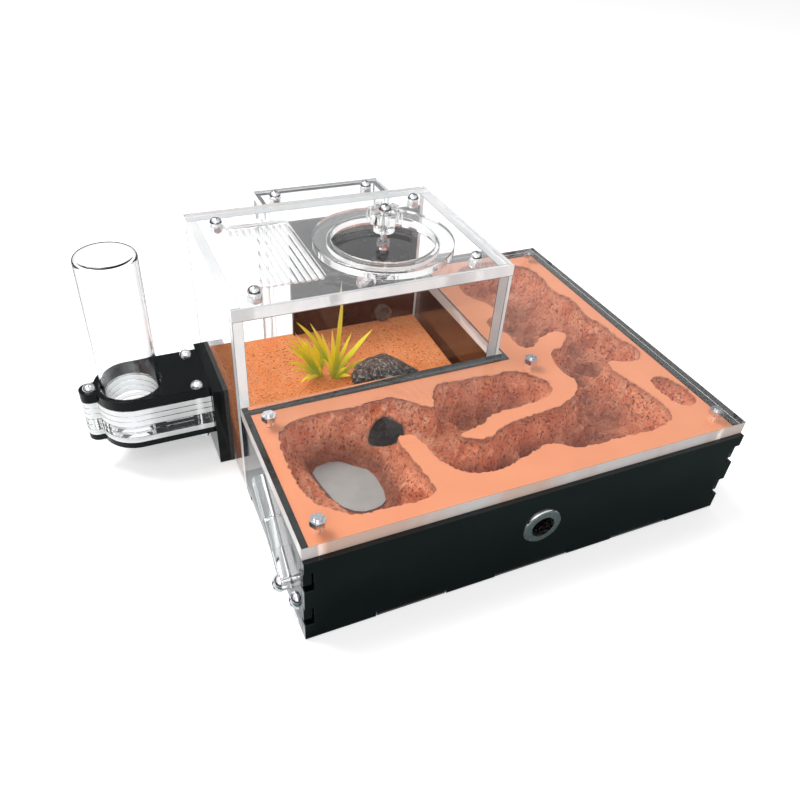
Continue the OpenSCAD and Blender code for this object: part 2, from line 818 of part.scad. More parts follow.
// Plant: two tufts of leaves, each on a low round foot in the sand
module plant() {
    foot_r = 4.6;
    tufts = [[0, 0], [-8, 3]];
    // Tuft, heading, lean, bow and share of the tallest leaf
    leaves = [
        [0, 15, 8, 0.03, 0.9], [0, 4, 38, 0.03, 0.78], [0, 172, 18, 0.03, 0.89], [0, 174, 25, 0.05, 0.97],
        [0, 40, 22, 0.05, 0.58], [0, 20, 44, 0.06, 0.42], [0, 262, 36, 0.06, 0.3], [0, 120, 20, 0.06, 0.6],
        [1, 181, 27, 0.06, 0.77], [1, 188, 33, 0.06, 0.69], [1, 176, 18, 0.04, 0.67],
        [1, 200, 45, 0.06, 0.55], [1, 203, 60, 0.08, 0.41], [1, 262, 32, 0.06, 0.33],
        [1, 128, 24, 0.05, 0.56], [1, 65, 17, 0.05, 0.5]];
    color([0.8, 0.78, 0.15]) from_corner() translate([plant_spot[0], plant_spot[1], sand_z]) {
        for (place = tufts) {
            translate([place[0], place[1], 0]) cylinder(h = 1.2, r = foot_r);
        }
        for (v = leaves) {
            place = tufts[v[0]];
            translate([place[0] + 2.2 * cos(v[1]), place[1] + 2.2 * sin(v[1]), 0.6])
                leaf(leaf_l * v[4], v[1], v[2], v[3]);
        }
    }
}

// ---- top plate ----

module top_plate() {
    pocket_z = box_h - vent_pocket;
    corner_r = 3;
    slot_margin = 2;
    color(clear) from_corner() difference() {
        slab([0, box_y, box_wall_h], [box_w, box_back, box_h]);
        slab([vent_margin + corner_r, vent_y, pocket_z],
            [vent_margin + vent_w - corner_r, vent_y + vent_l, box_h + eps]);
        slab([vent_margin, vent_y + corner_r, pocket_z],
            [vent_margin + vent_w, vent_y + vent_l - corner_r, box_h + eps]);
        for (x = [corner_r, vent_w - corner_r]) {
            for (y = [corner_r, vent_l - corner_r]) {
                translate([vent_margin + x, vent_y + y, pocket_z])
                    cylinder(h = vent_pocket + eps, r = corner_r);
            }
        }
        for (i = [0:vent_count - 1]) {
            slot_x = vent_margin + (i + 0.5) * vent_pitch - vent_slot_w / 2;
            slab([slot_x, vent_y + slot_margin, box_wall_h - eps],
                [slot_x + vent_slot_w, vent_y + vent_l - slot_margin, box_h]);
        }
        translate([feed_x, feed_y, box_wall_h - eps]) cylinder(h = clear_t + 2 * eps, r = feed_r);
        holes(top_spots, hole_r, box_wall_h, box_h);
    }
}

module top_screws() {
    color(steel) from_corner() for (p = top_spots) {
        translate([p[0], p[1], box_h]) pan_screw(clear_t + nut_h + thread_show);
    }
}

module top_nuts() {
    color(steel) from_corner() for (p = top_spots) {
        translate([p[0], p[1], box_wall_h - nut_h]) hex_nut();
    }
}

// ---- feeding lid ----

// Places its children on the lid's axis at a height
module on_lid(z) {
    translate([feed_x, feed_y, z]) children();
}

module lid_disc() {
    color(clear) from_corner() on_lid(box_wall_h) difference() {
        cylinder(h = clear_t, r = disc_r);
        translate([0, 0, -eps]) cylinder(h = clear_t + 2 * eps, r = hole_r);
    }
}

module lid_ring() {
    color(clear) from_corner() on_lid(box_h) difference() {
        cylinder(h = ring_t, r = ring_r);
        translate([0, 0, -eps]) cylinder(h = ring_t + 2 * eps, r = disc_r - ring_lap);
    }
}

module lid_hub() {
    color(clear) from_corner() on_lid(hub_z) difference() {
        cylinder(h = knob_t, r = hub_r);
        translate([0, 0, -eps]) cylinder(h = knob_t + 2 * eps, r = screw_r + thread_play);
    }
}

// Finger knob: a disc with round notches between its teeth
module lid_knob() {
    notch_r = knob_r * 0.28;
    color(clear) from_corner() on_lid(knob_z) difference() {
        cylinder(h = knob_t, r = knob_r);
        translate([0, 0, -eps]) cylinder(h = knob_t + 2 * eps, r = screw_r + thread_play);
        for (i = [0:knob_teeth - 1]) {
            rotate([0, 0, i * 360 / knob_teeth]) translate([knob_r, 0, -eps])
                cylinder(h = knob_t + 2 * eps, r = notch_r);
        }
    }
}

module lid_screw() {
    head_z = knob_z + knob_t;
    color(steel) from_corner() on_lid(head_z) pan_screw(head_z - box_wall_h);
}

module lid_nut() {
    color(steel) from_corner() on_lid(box_h) hex_nut();
}

// ---- rear tower ----

tower_right = tower_x + tower_w;
tower_back = tower_y + tower_d;
tower_wall_h = box_h - tower_lid_t;

module tower_base() {
    color(clear) from_corner()
        slab([tower_x + tower_t, tower_y, 0], [tower_right - tower_t, tower_back - tower_t, tower_t]);
}

module tower_left_wall() {
    color(clear) from_corner()
        slab([tower_x, tower_y, 0], [tower_x + tower_t, tower_back - tower_t, tower_wall_h]);
}

module tower_right_wall() {
    color(clear) from_corner()
        slab([tower_right - tower_t, tower_y, 0], [tower_right, tower_back - tower_t, tower_wall_h]);
}

module tower_back_wall() {
    color(clear) from_corner()
        slab([tower_x, tower_back - tower_t, 0], [tower_right, tower_back, tower_wall_h]);
}

module tower_lid() {
    color(clear) from_corner() difference() {
        slab([tower_x, tower_y + slide_gap, tower_wall_h], [tower_right, tower_back, box_h]);
        holes(tower_spots, hole_r, tower_wall_h, box_h);
    }
}

module tower_screws() {
    color(steel) from_corner() for (p = tower_spots) {
        translate([p[0], p[1], box_h]) pan_screw(tower_lid_t + nut_h + thread_show);
    }
}

module tower_nuts() {
    color(steel) from_corner() for (p = tower_spots) {
        translate([p[0], p[1], tower_wall_h - nut_h]) hex_nut();
    }
}

// ---- tube feeder ----

// Outline of the feeder's plates: the round cup, its arm to the hanger and the screw ear
module feeder_plan() {
    translate([cup_x, feeder_y]) circle(r = cup_r);
    translate([cup_x, feeder_y - cup_r]) square([cup_reach, 2 * cup_r]);
    translate([cup_x - ear_reach, feeder_y]) circle(r = ear_r);
    translate([cup_x - ear_reach, feeder_y - ear_r]) square([ear_reach, 2 * ear_r]);
}

// One plate of that outline between two heights, bored at the cup's axis
module feeder_plate(from_z, to_z, bore_r) {
    difference() {
        translate([0, 0, from_z]) linear_extrude(to_z - from_z) feeder_plan();
        translate([cup_x, feeder_y, from_z - eps]) cylinder(h = to_z - from_z + 2 * eps, r = bore_r);
        holes(feeder_spots, hole_r, from_z, to_z);
    }
}

module feeder_pad() {
    color("dimgray") from_corner() difference() {
        slab([-pad_t, feeder_y - hanger_w / 2, 0], [0, feeder_y + hanger_w / 2, hanger_h]);
        translate([-pad_t - eps, feeder_y, channel_port_z]) rotate([0, 90, 0])
            cylinder(h = pad_t + 2 * eps, r = channel_port_r);
    }
}

module feeder_hanger() {
    color(black) from_corner() difference() {
        slab([hanger_x, feeder_y - hanger_w / 2, 0], [-pad_t, feeder_y + hanger_w / 2, hanger_h]);
        translate([hanger_x - eps, feeder_y, channel_port_z]) rotate([0, 90, 0])
            cylinder(h = hanger_t + 2 * eps, r = channel_port_r);
    }
}

module feeder_top() {
    color(black) from_corner() feeder_plate(feeder_top_z, hanger_h, tube_r + tube_gap);
}

// One clear layer of the cup, counted from the bottom; the seam is at its underside
module feeder_layer(i) {
    low = cup_floor_z + i * layer_t;
    feeder_plate(low + (i == 0 ? 0 : seam_t), low + layer_t, cup_bore_r);
}

module feeder_layers() {
    color(clear) from_corner() for (i = [0:layer_count - 1]) {
        if (i < channel_from || i >= channel_from + channel_layers) feeder_layer(i);
    }
}

module feeder_channel() {
    color(clear) from_corner() for (i = [channel_from:channel_from + channel_layers - 1]) {
        difference() {
            feeder_layer(i);
            slab([cup_x, feeder_y - channel_w / 2, cup_floor_z],
                [hanger_x + eps, feeder_y + channel_w / 2, feeder_top_z]);
        }
    }
}

module feeder_bottom() {
    color(black) from_corner() difference() {
        translate([0, 0, bottom_z]) linear_extrude(bottom_t) feeder_plan();
        holes(feeder_spots, hole_r, bottom_z, cup_floor_z);
    }
}

module strainer() {
    color("white") from_corner() translate([cup_x, feeder_y, cup_floor_z])
        cylinder(h = strainer_t, r = cup_bore_r - strainer_play);
}

module feeder_screws() {
    color(steel) from_corner() for (p = feeder_spots) {
        translate([p[0], p[1], hanger_h]) pan_screw(hanger_h - bottom_z + nut_h + thread_show);
    }
}

module feeder_nuts() {
    color(steel) from_corner() for (p = feeder_spots) {
        translate([p[0], p[1], bottom_z - nut_h]) hex_nut();
    }
}

// Feeder tube: open below, closed above, with a rounded top edge
module feeder_tube() {
    round_r = 2;
    color(clear) from_corner() translate([cup_x, feeder_y, feeder_top_z]) rotate_extrude() difference() {
        union() {
            square([tube_r, tube_l - round_r]);
            square([tube_r - round_r, tube_l]);
            translate([tube_r - round_r, tube_l - round_r]) circle(r = round_r);
        }
        translate([-eps, -eps]) square([tube_r - tube_wall + eps, tube_l - tube_wall + eps]);
        translate([-tube_r - eps, -eps]) square([tube_r + eps, tube_l + 2 * eps]);
    }
}

base_plate();
front_wall();
left_wall();
right_wall();
rear_wall();
inner_front_wall();
inner_side_wall();
nest_plaster_a();
nest_plaster_b();
nest_plaster_c();
nest_plaster_d();
founding_slab();
nest_cover();
cover_screws();
cover_nuts();
tube_grommet();
gate_lever();
gate_pivot_screw();
spare_screw();
side_screw_nuts();
box_base();
box_plaster();
sand_layer();
box_front_wall();
box_back_wall();
box_left_wall();
box_right_wall();
dark_panel();
dark_plug();
clear_plug();
stone();
plant();
top_plate();
top_screws();
top_nuts();
lid_disc();
lid_ring();
lid_hub();
lid_knob();
lid_screw();
lid_nut();
tower_base();
tower_left_wall();
tower_right_wall();
tower_back_wall();
tower_lid();
tower_screws();
tower_nuts();
feeder_pad();
feeder_hanger();
feeder_top();
feeder_layers();
feeder_channel();
feeder_bottom();
strainer();
feeder_screws();
feeder_nuts();
feeder_tube();
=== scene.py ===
"""Ant habitat: a carved plaster nest in a black acrylic case under a clear cover, with a clear
outworld box, a rear tower and a tube feeder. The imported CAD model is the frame; this script adds
the carved plaster, the sand, the planting, the finishes, the lights and the camera."""
import json
import math
import bmesh
import bpy
import numpy as np
from mathutils import Matrix, Vector


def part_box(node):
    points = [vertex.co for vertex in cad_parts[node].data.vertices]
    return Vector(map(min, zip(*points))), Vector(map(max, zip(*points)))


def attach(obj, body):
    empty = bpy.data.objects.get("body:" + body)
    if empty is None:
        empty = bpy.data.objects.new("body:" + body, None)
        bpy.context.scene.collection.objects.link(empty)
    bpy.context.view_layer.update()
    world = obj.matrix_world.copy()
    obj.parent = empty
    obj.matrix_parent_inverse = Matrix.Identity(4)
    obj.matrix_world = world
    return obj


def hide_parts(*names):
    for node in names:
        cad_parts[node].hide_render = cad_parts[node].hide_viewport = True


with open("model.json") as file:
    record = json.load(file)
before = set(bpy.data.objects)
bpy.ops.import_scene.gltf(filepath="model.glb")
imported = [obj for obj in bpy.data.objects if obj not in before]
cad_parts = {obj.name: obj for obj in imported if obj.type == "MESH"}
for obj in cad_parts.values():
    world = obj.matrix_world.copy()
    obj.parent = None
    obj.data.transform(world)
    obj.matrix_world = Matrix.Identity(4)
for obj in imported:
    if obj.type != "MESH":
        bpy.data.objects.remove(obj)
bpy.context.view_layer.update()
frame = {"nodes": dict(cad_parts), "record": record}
nodes = frame["nodes"]

MM = 0.001
# The nest cover's front left corner, from which plan places are measured in millimetres
CORNER_X = -100.0
CORNER_Y = -40.0


# ---------------------------------------------------------------- camera

# Solved from the object's own right angles and parallel edges
LENS_MM = 32.61
LENS_SHIFT = (0.0179, 0.0166)
CAMERA_PLACE = (-0.146723, -0.194145, 0.241182)
CAMERA_RIGHT = (0.917371, -0.394218, 0.054984)
CAMERA_UP = (0.210545, 0.597834, 0.773476)
CAMERA_BACK = (-0.337789, -0.697988, 0.631436)


def place_camera():
    """The photograph's camera: above the front left corner, looking down over the nest."""
    lens = bpy.data.cameras.new("photo_camera")
    lens.sensor_width = 36.0
    lens.lens = LENS_MM
    lens.shift_x = LENS_SHIFT[0]
    lens.shift_y = LENS_SHIFT[1]
    lens.clip_start = 0.01
    lens.clip_end = 20.0
    camera = bpy.data.objects.new("photo_camera", lens)
    turn = Matrix((CAMERA_RIGHT, CAMERA_UP, CAMERA_BACK)).transposed()
    camera.matrix_world = Matrix.Translation(CAMERA_PLACE) @ turn.to_4x4()
    bpy.context.scene.collection.objects.link(camera)
    bpy.context.scene.camera = camera


place_camera()


# ---------------------------------------------------------------- finishes

def ray_is(tree, kinds):
    """A socket that is 1 for rays of any of the given kinds and 0 for the others."""
    ray = tree.nodes.new("ShaderNodeLightPath")
    seen = ray.outputs[kinds[0]]
    for kind in kinds[1:]:
        either = tree.nodes.new("ShaderNodeMath")
        either.operation = "MAXIMUM"
        tree.links.new(seen, either.inputs[0])
        tree.links.new(ray.outputs[kind], either.inputs[1])
        seen = either.outputs[0]
    return seen


class Finish:
    """A procedural material that is put together node by node."""

    def __init__(self, name, **values):
        self.material = bpy.data.materials.new(name)
        self.material.use_nodes = True
        self.tree = self.material.node_tree
        self.tree.nodes.clear()
        self.output = self.node("ShaderNodeOutputMaterial")
        self.shader = self.node("ShaderNodeBsdfPrincipled", **values)
        self.link(self.shader.outputs[0], self.output.inputs["Surface"])
        self.place = self.node("ShaderNodeTexCoord").outputs["Object"]

    def node(self, kind, **values):
        made = self.tree.nodes.new(kind)
        for key, value in values.items():
            made.inputs[key.replace("_", " ")].default_value = value
        return made

    def link(self, source, target):
        self.tree.links.new(source, target)

    def noise(self, grain_mm, detail=4.0, rough=0.55, stretch=(1.0, 1.0, 1.0)):
        """Layered noise whose coarsest grain is about that many millimetres."""
        made = self.node("ShaderNodeTexNoise", Scale=1.0 / (grain_mm * MM), Detail=detail,
                         Roughness=rough)
        if stretch == (1.0, 1.0, 1.0):
            self.link(self.place, made.inputs["Vector"])
        else:
            mapping = self.node("ShaderNodeMapping", Scale=stretch)
            self.link(self.place, mapping.inputs["Vector"])
            self.link(mapping.outputs[0], made.inputs["Vector"])
        return made.outputs[0]

    def attribute(self, name):
        made = self.node("ShaderNodeAttribute")
        made.attribute_name = name
        return made.outputs["Fac"]

    def ramp(self, source, stops):
        """A colour ramp through (position, (r, g, b)) stops."""
        made = self.node("ShaderNodeValToRGB")
        band = made.color_ramp
        while len(band.elements) < len(stops):
            band.elements.new(0.5)
        for element, (position, colour) in zip(band.elements, stops):
            element.position = position
            element.color = (*colour, 1.0)
        self.link(source, made.inputs[0])
        return made.outputs[0]

    def spread(self, source, low, high, out_low, out_high):
        """The source's range from low to high, moved to out_low to out_high."""
        made = self.node("ShaderNodeMapRange", From_Min=low, From_Max=high,
                         To_Min=out_low, To_Max=out_high)
        self.link(source, made.inputs["Value"])
        return made.outputs[0]

    def mix(self, factor, a, b, blend="MIX"):
        """Colour a to colour b by the factor; each is a socket or a plain value."""
        made = self.tree.nodes.new("ShaderNodeMix")
        made.data_type = "RGBA"
        made.blend_type = blend
        for socket, value in ((made.inputs[0], factor), (made.inputs[6], a), (made.inputs[7], b)):
            if isinstance(value, bpy.types.NodeSocket):
                self.link(value, socket)
            elif isinstance(value, tuple):
                socket.default_value = (*value, 1.0)
            else:
                socket.default_value = value
        return made.outputs[2]

    def bump(self, heights, depths_mm):
        """Chains bumps, each a height socket with its depth in millimetres, onto the normal."""
        normal = None
        for height, depth in zip(heights, depths_mm):
            made = self.node("ShaderNodeBump", Strength=1.0, Distance=depth * MM)
            self.link(height, made.inputs["Height"])
            if normal is not None:
                self.link(normal, made.inputs["Normal"])
            normal = made.outputs[0]
        self.link(normal, self.shader.inputs["Normal"])

    def colour(self, source):
        self.link(source, self.shader.inputs["Base Color"])

    def roughness(self, source):
        self.link(source, self.shader.inputs["Roughness"])

    def for_rays(self, kinds, other):
        """Puts another shader in place of the main one for rays of the given kinds."""
        mixed = self.node("ShaderNodeMixShader")
        self.link(ray_is(self.tree, kinds), mixed.inputs[0])
        self.link(self.shader.outputs[0], mixed.inputs[1])
        self.link(other, mixed.inputs[2])
        self.link(mixed.outputs[0], self.output.inputs["Surface"])

    def light_passes(self):
        """Lamps shine through: for shadow and diffuse rays the sheet is a pale transparent film."""
        film = self.node("ShaderNodeBsdfTransparent", Color=(0.94, 0.95, 0.95, 1.0))
        self.for_rays(("Is Shadow Ray", "Is Diffuse Ray"), film.outputs[0])


def sheet_acrylic_black(name, index):
    """Black cast acrylic: a deep gloss with faint wipe marks and dust."""
    made = Finish(name, IOR=index, Roughness=0.1)
    haze = made.noise(38.0, 3.0, 0.6, (1.0, 1.0, 1.6))
    dust = made.noise(0.9, 2.0)
    body = made.ramp(haze, [(0.35, (0.0010, 0.0020, 0.0021)), (0.75, (0.0030, 0.0062, 0.0064))])
    made.colour(body)
    wiped = made.ramp(haze, [(0.3, (0.05, 0.05, 0.05)), (0.8, (0.13, 0.13, 0.13))])
    specks = made.spread(dust, 0.66, 0.8, 0.0, 0.18)
    made.roughness(made.mix(specks, wiped, (0.4, 0.4, 0.4)))
    made.bump([haze, made.noise(7.0, 2.0)], [0.05, 0.006])
    return made.material


def sheet_acrylic_clear(name, tint, dull, index, veil=0.0, gloss=1.0):
    """Clear cast acrylic with a trace of surface haze; veil is its share of dusty white, and gloss
    scales what it mirrors face on."""
    made = Finish(name, IOR=index, Transmission_Weight=1.0 - veil, Base_Color=(*tint, 1.0),
                  Specular_Tint=(gloss, gloss, gloss, 1.0))
    haze = made.noise(22.0, 4.0, 0.6)
    made.roughness(made.spread(haze, 0.45, 0.8, 0.0, dull))
    made.light_passes()
    return made.material


def cut_edge(name, low, high, grain_mm):
    """The cut edge of clear sheet: milky and clouded, with what lies behind it shining through. Its
    faint glow stands for the light that the sheet gathers from its faces."""
    made = Finish(name, IOR=1.49, Transmission_Weight=0.5, Roughness=0.22,
                  Emission_Color=(1.0, 1.0, 1.0, 1.0), Emission_Strength=0.14)
    cloud = made.noise(grain_mm, 3.0, 0.5, (1.0, 1.0, 0.3))
    made.colour(made.ramp(cloud, [(0.4, low), (0.58, high)]))
    made.light_passes()
    return made.material


def sheet_outline():
    """The thin grey line along a clear sheet's corners: a painted reflection, grey colour that
    stands for the room that they mirror sideways.
    """
    made = Finish("clear_acrylic_corner_painted_reflection", IOR=1.49, Transmission_Weight=0.55, Roughness=0.15)
    cloud = made.noise(9.0, 2.0)
    made.colour(made.ramp(cloud, [(0.3, (0.16, 0.17, 0.18)), (0.7, (0.42, 0.44, 0.46))]))
    made.light_passes()
    return made.material


def tube_acrylic():
    """Clear tube: its wall greys towards the outline by the viewing angle, a painted shade that
    stands for the light lost where it runs through more of the wall.
    """
    made = Finish("clear_tube", IOR=1.36, Transmission_Weight=1.0)
    limb = made.node("ShaderNodeLayerWeight", Blend=0.35)
    haze = made.noise(22.0, 4.0, 0.6)
    # Painted shade: the colour greys as the wall turns away from the view
    painted_limb_shade = [(0.12, (0.985, 0.988, 0.99)), (0.4, (0.84, 0.85, 0.86)), (0.65, (0.6, 0.62, 0.64)),
               (1.0, (0.3, 0.32, 0.34))]
    made.colour(made.ramp(limb.outputs["Facing"], painted_limb_shade))
    made.roughness(made.spread(haze, 0.45, 0.8, 0.0, 0.02))
    made.light_passes()
    return made.material


def polished_steel(name, shade):
    """Bright zinc-plated steel with small turning marks and dulled spots."""
    made = Finish(name, Metallic=1.0)
    spots = made.noise(1.3, 4.0)
    dulled = tuple(v * 0.8 for v in shade)
    made.colour(made.mix(made.spread(spots, 0.35, 0.7, 0.0, 1.0), dulled, shade))
    made.roughness(made.spread(spots, 0.3, 0.75, 0.12, 0.34))
    made.bump([made.noise(0.5, 2.0, 0.5, (1.0, 1.0, 4.0))], [0.012])
    return made.material


def carved_plaster():
    """Tinted plaster: smooth and pale on top, granular and redder where it is carved. Its colour
    also
    carries painted light: painted shade that darkens it with depth, in its pits and along a line
    just below the rim, and makes it near black in the shaft and where a bore lets no light in, and
    a painted highlight on crumbs that stand out."""
    made = Finish("nest_plaster", Roughness=0.88, Specular_IOR_Level=0.3)
    carved = made.attribute("carved")
    # low reads the depth shade, which drives the painted shade below
    low = made.attribute("depth_shade")
    crumb = made.attribute("crumb")
    cloud = made.noise(24.0, 4.0)
    patch = made.noise(9.0, 3.0)
    grain = made.noise(1.3, 3.0, 0.6)
    pits = made.noise(1.35, 3.0, 0.5)
    fine = made.noise(0.45, 2.0)
    top = made.ramp(cloud, [(0.35, (0.91, 0.325, 0.165)), (0.7, (0.96, 0.36, 0.185))])
    rough = made.ramp(patch, [(0.35, (0.74, 0.18, 0.07)), (0.6, (1.0, 0.37, 0.19))])
    # Painted highlight: crumbs that stand out, mixed with random grain, turn a lighter salmon
    lit = made.spread(made.mix(0.45, grain, crumb), 0.5, 0.64, 0.0, 0.8)
    rough = made.mix(lit, rough, (1.0, 0.53, 0.34))
    # Painted shade: darker with depth
    rough = made.mix(made.spread(low, 0.35, 0.95, 0.0, 0.72), rough, (0.19, 0.058, 0.032))
    # Painted shade in the pits, which the bump below sets lower
    rough = made.mix(made.spread(pits, 0.44, 0.36, 0.0, 0.85), rough, (0.26, 0.055, 0.028))
    # Painted shade: a darker line just below the rim
    rough = made.mix(made.spread(low, 0.015, 0.13, 0.6, 0.0), rough, (0.42, 0.11, 0.06))
    edge = made.spread(carved, 0.02, 0.35, 0.0, 1.0)
    body = made.mix(edge, top, rough)
    # Painted shade: near black in the shaft and in the bores, where no light gets in
    made.colour(made.mix(made.spread(low, 1.02, 1.3, 0.0, 0.97), body, (0.012, 0.011, 0.012)))
    made.roughness(made.spread(fine, 0.3, 0.7, 0.75, 0.95))
    raised = []
    for height in (grain, pits):
        gated = made.node("ShaderNodeMath")
        gated.operation = "MULTIPLY"
        made.link(height, gated.inputs[0])
        made.link(edge, gated.inputs[1])
        raised.append(gated.outputs[0])
    made.bump([fine, *raised], [0.03, 0.9, 0.7])
    return made.material


def loose_sand():
    """Orange sand pressed level, with dark and pale grains."""
    made = Finish("sand", Roughness=0.92, Specular_IOR_Level=0.25)
    grain = made.noise(0.9, 3.0, 0.65)
    cloud = made.noise(14.0, 4.0)
    body = made.ramp(cloud, [(0.35, (0.95, 0.29, 0.1)), (0.7, (1.0, 0.36, 0.145))])
    body = made.mix(made.spread(grain, 0.36, 0.46, 0.75, 0.0), body, (0.5, 0.1, 0.03))
    pale = made.noise(1.2, 1.0)
    body = made.mix(made.spread(pale, 0.66, 0.72, 0.0, 0.85), body, (0.98, 0.56, 0.3))
    dark = made.noise(1.3, 1.0, 0.5, (1.0, 1.3, 1.0))
    body = made.mix(made.spread(dark, 0.34, 0.29, 0.0, 0.9), body, (0.1, 0.03, 0.012))
    made.colour(body)
    made.bump([grain, cloud], [0.3, 0.4])
    return made.material


def cast_base():
    """The tinted plaster below the sand: an even, slightly mottled casting."""
    made = Finish("base_plaster", Roughness=0.85, Specular_IOR_Level=0.3)
    cloud = made.noise(9.0, 5.0)
    made.colour(made.ramp(cloud, [(0.3, (0.66, 0.19, 0.075)), (0.7, (0.86, 0.28, 0.12))]))
    made.bump([made.noise(0.8, 4.0)], [0.12])
    return made.material


def grey_cement():
    """The founding chamber's floor: smooth, damp-looking grey cement."""
    made = Finish("grey_floor", Roughness=0.55)
    cloud = made.noise(13.0, 5.0, 0.6)
    made.colour(made.ramp(cloud, [(0.3, (0.33, 0.325, 0.315)), (0.7, (0.44, 0.435, 0.42))]))
    made.bump([made.noise(2.2, 4.0)], [0.08])
    return made.material


def dark_glossy(name, low, high, dull, index):
    """Dark moulded plastic with a soft sheen."""
    made = Finish(name, Roughness=dull, IOR=index)
    cloud = made.noise(6.0, 4.0)
    made.colour(made.ramp(cloud, [(0.3, low), (0.75, high)]))
    made.roughness(made.spread(cloud, 0.3, 0.75, dull * 0.7, dull * 1.3))
    made.bump([made.noise(0.6, 2.0)], [0.015])
    return made.material


def speckled_stone():
    """Dark, pitted rock with pale mineral flecks."""
    made = Finish("stone", Roughness=0.75)
    mass = made.noise(4.0, 6.0, 0.7)
    flecks = made.noise(1.7, 4.0, 0.75)
    pits = made.noise(1.5, 3.0, 0.7, (1.0, 1.4, 1.2))
    body = made.ramp(mass, [(0.36, (0.012, 0.01, 0.01)), (0.52, (0.055, 0.048, 0.046)),
                            (0.68, (0.16, 0.145, 0.135))])
    body = made.mix(made.spread(flecks, 0.53, 0.6, 0.0, 0.9), body, (0.5, 0.46, 0.42))
    body = made.mix(made.spread(pits, 0.45, 0.4, 0.0, 0.9), body, (0.008, 0.007, 0.007))
    made.colour(body)
    made.bump([mass, flecks], [0.8, 0.5])
    return made.material


def leaf_plastic():
    """Soft plastic leaves: green at the foot, clear yellow up to the tip. Their faint glow stands
    for the light that comes through a thin leaf."""
    made = Finish("leaf", Roughness=0.5, Emission_Color=(1.0, 0.7, 0.03, 1.0),
                  Emission_Strength=0.16)
    along = made.attribute("along")
    streak = made.noise(1.6, 3.0, 0.5, (1.0, 1.0, 0.3))
    body = made.ramp(along, [(0.0, (0.01, 0.15, 0.01)), (0.16, (0.04, 0.32, 0.02)),
                             (0.36, (0.8, 0.7, 0.03)), (0.55, (1.0, 0.83, 0.03)),
                             (1.0, (1.0, 0.9, 0.25))])
    made.colour(made.mix(made.spread(streak, 0.35, 0.7, 0.18, 0.0), body, (0.5, 0.5, 0.01)))
    made.bump([streak], [0.1])
    return made.material


def foam():
    """Grey closed-cell foam tape."""
    made = Finish("foam_rubber", Roughness=0.95)
    cells = made.noise(0.7, 3.0)
    made.colour(made.ramp(cells, [(0.35, (0.02, 0.02, 0.02)), (0.7, (0.07, 0.07, 0.07))]))
    made.bump([cells], [0.15])
    return made.material


def white_mesh():
    """White moulded disc with a fine pore pattern."""
    made = Finish("white_plastic", Roughness=0.5)
    pores = made.noise(0.9, 2.0)
    made.colour(made.ramp(pores, [(0.3, (0.55, 0.55, 0.56)), (0.55, (0.82, 0.82, 0.83))]))
    made.bump([pores], [0.1])
    return made.material


ACRYLIC_INDEX = 1.49
CLEAR_TINT = (0.985, 0.992, 0.992)
FINISH_OF_SLOT = {
    "black_acrylic": sheet_acrylic_black("black_acrylic", ACRYLIC_INDEX),
    "clear_acrylic": sheet_acrylic_clear("clear_acrylic", CLEAR_TINT, 0.03, ACRYLIC_INDEX),
    "clear_tube": tube_acrylic(),
    "steel": polished_steel("steel", (0.8, 0.8, 0.82)),
    "nest_plaster": carved_plaster(),
    "base_plaster": cast_base(),
    "sand": loose_sand(),
    "grey_floor": grey_cement(),
    "dark_plug": dark_glossy("dark_plug", (0.045, 0.046, 0.05), (0.13, 0.132, 0.14), 0.22, 1.5),
    "stone": speckled_stone(),
    "leaf": leaf_plastic(),
    "foam_rubber": foam(),
    "white_plastic": white_mesh(),
}
# Pieces whose finish differs from the plain one of their slot
FEEDER_BLACK = sheet_acrylic_black("black_acrylic_feeder", 1.24)
PANEL = dark_glossy("dark_panel", (0.006, 0.002, 0.0015), (0.014, 0.005, 0.004), 0.25, 1.22)
# A darker copy of the steel for the lid's parts: painted shade where they sit inside the clear knob
SHADED_STEEL = polished_steel("steel_below_glass_painted_shade", (0.58, 0.58, 0.6))
COVER = sheet_acrylic_clear("clear_acrylic_cover", CLEAR_TINT, 0.02, ACRYLIC_INDEX, gloss=0.3)
TOP_SHEET = sheet_acrylic_clear("clear_acrylic_top", (0.98, 0.99, 1.0), 0.03, ACRYLIC_INDEX,
                                veil=0.07)
BOX_SHEET = sheet_acrylic_clear("clear_acrylic_box", CLEAR_TINT, 0.02, 1.25)
PLUG = sheet_acrylic_clear("clear_plug", (0.62, 0.53, 0.52), 0.05, 1.12)
# Cut edges, and the painted reflection line along a clear sheet's corners
EDGE = cut_edge("clear_acrylic_edge", (0.9, 0.92, 0.94), (1.0, 1.0, 1.0), 11.0)
# The cover's cut edge is painted pink: the plaster's colour as it shows through the edge
COVER_EDGE = cut_edge("clear_cover_edge", (1.0, 0.6, 0.43), (1.0, 0.93, 0.9), 26.0)
OUTLINE = sheet_outline()


# ---------------------------------------------------------------- numpy helpers

def grain_field(points, size, seed):
    """Value noise from 0 to 1 at (n, 3) places in millimetres: hashed corners of a cubic lattice
    of that size, blended with a smooth step."""
    scaled = points / size
    base = np.floor(scaled).astype(np.int64)
    part = scaled - base
    part = part * part * (3.0 - 2.0 * part)
    total = np.zeros(len(points))
    for corner in range(8):
        step = np.array([corner & 1, corner >> 1 & 1, corner >> 2 & 1])
        cell = (base + step).astype(np.uint64)
        key = cell[:, 0] * np.uint64(73856093) ^ cell[:, 1] * np.uint64(19349663)
        key = key ^ cell[:, 2] * np.uint64(83492791) ^ np.uint64(seed * 2654435761 % 2 ** 32)
        key = (key ^ key >> np.uint64(13)) * np.uint64(1274126177)
        key = (key ^ key >> np.uint64(16)) & np.uint64(65535)
        weight = np.prod(np.where(step, part, 1.0 - part), axis=1)
        total += weight * key.astype(float) / 65535.0
    return total


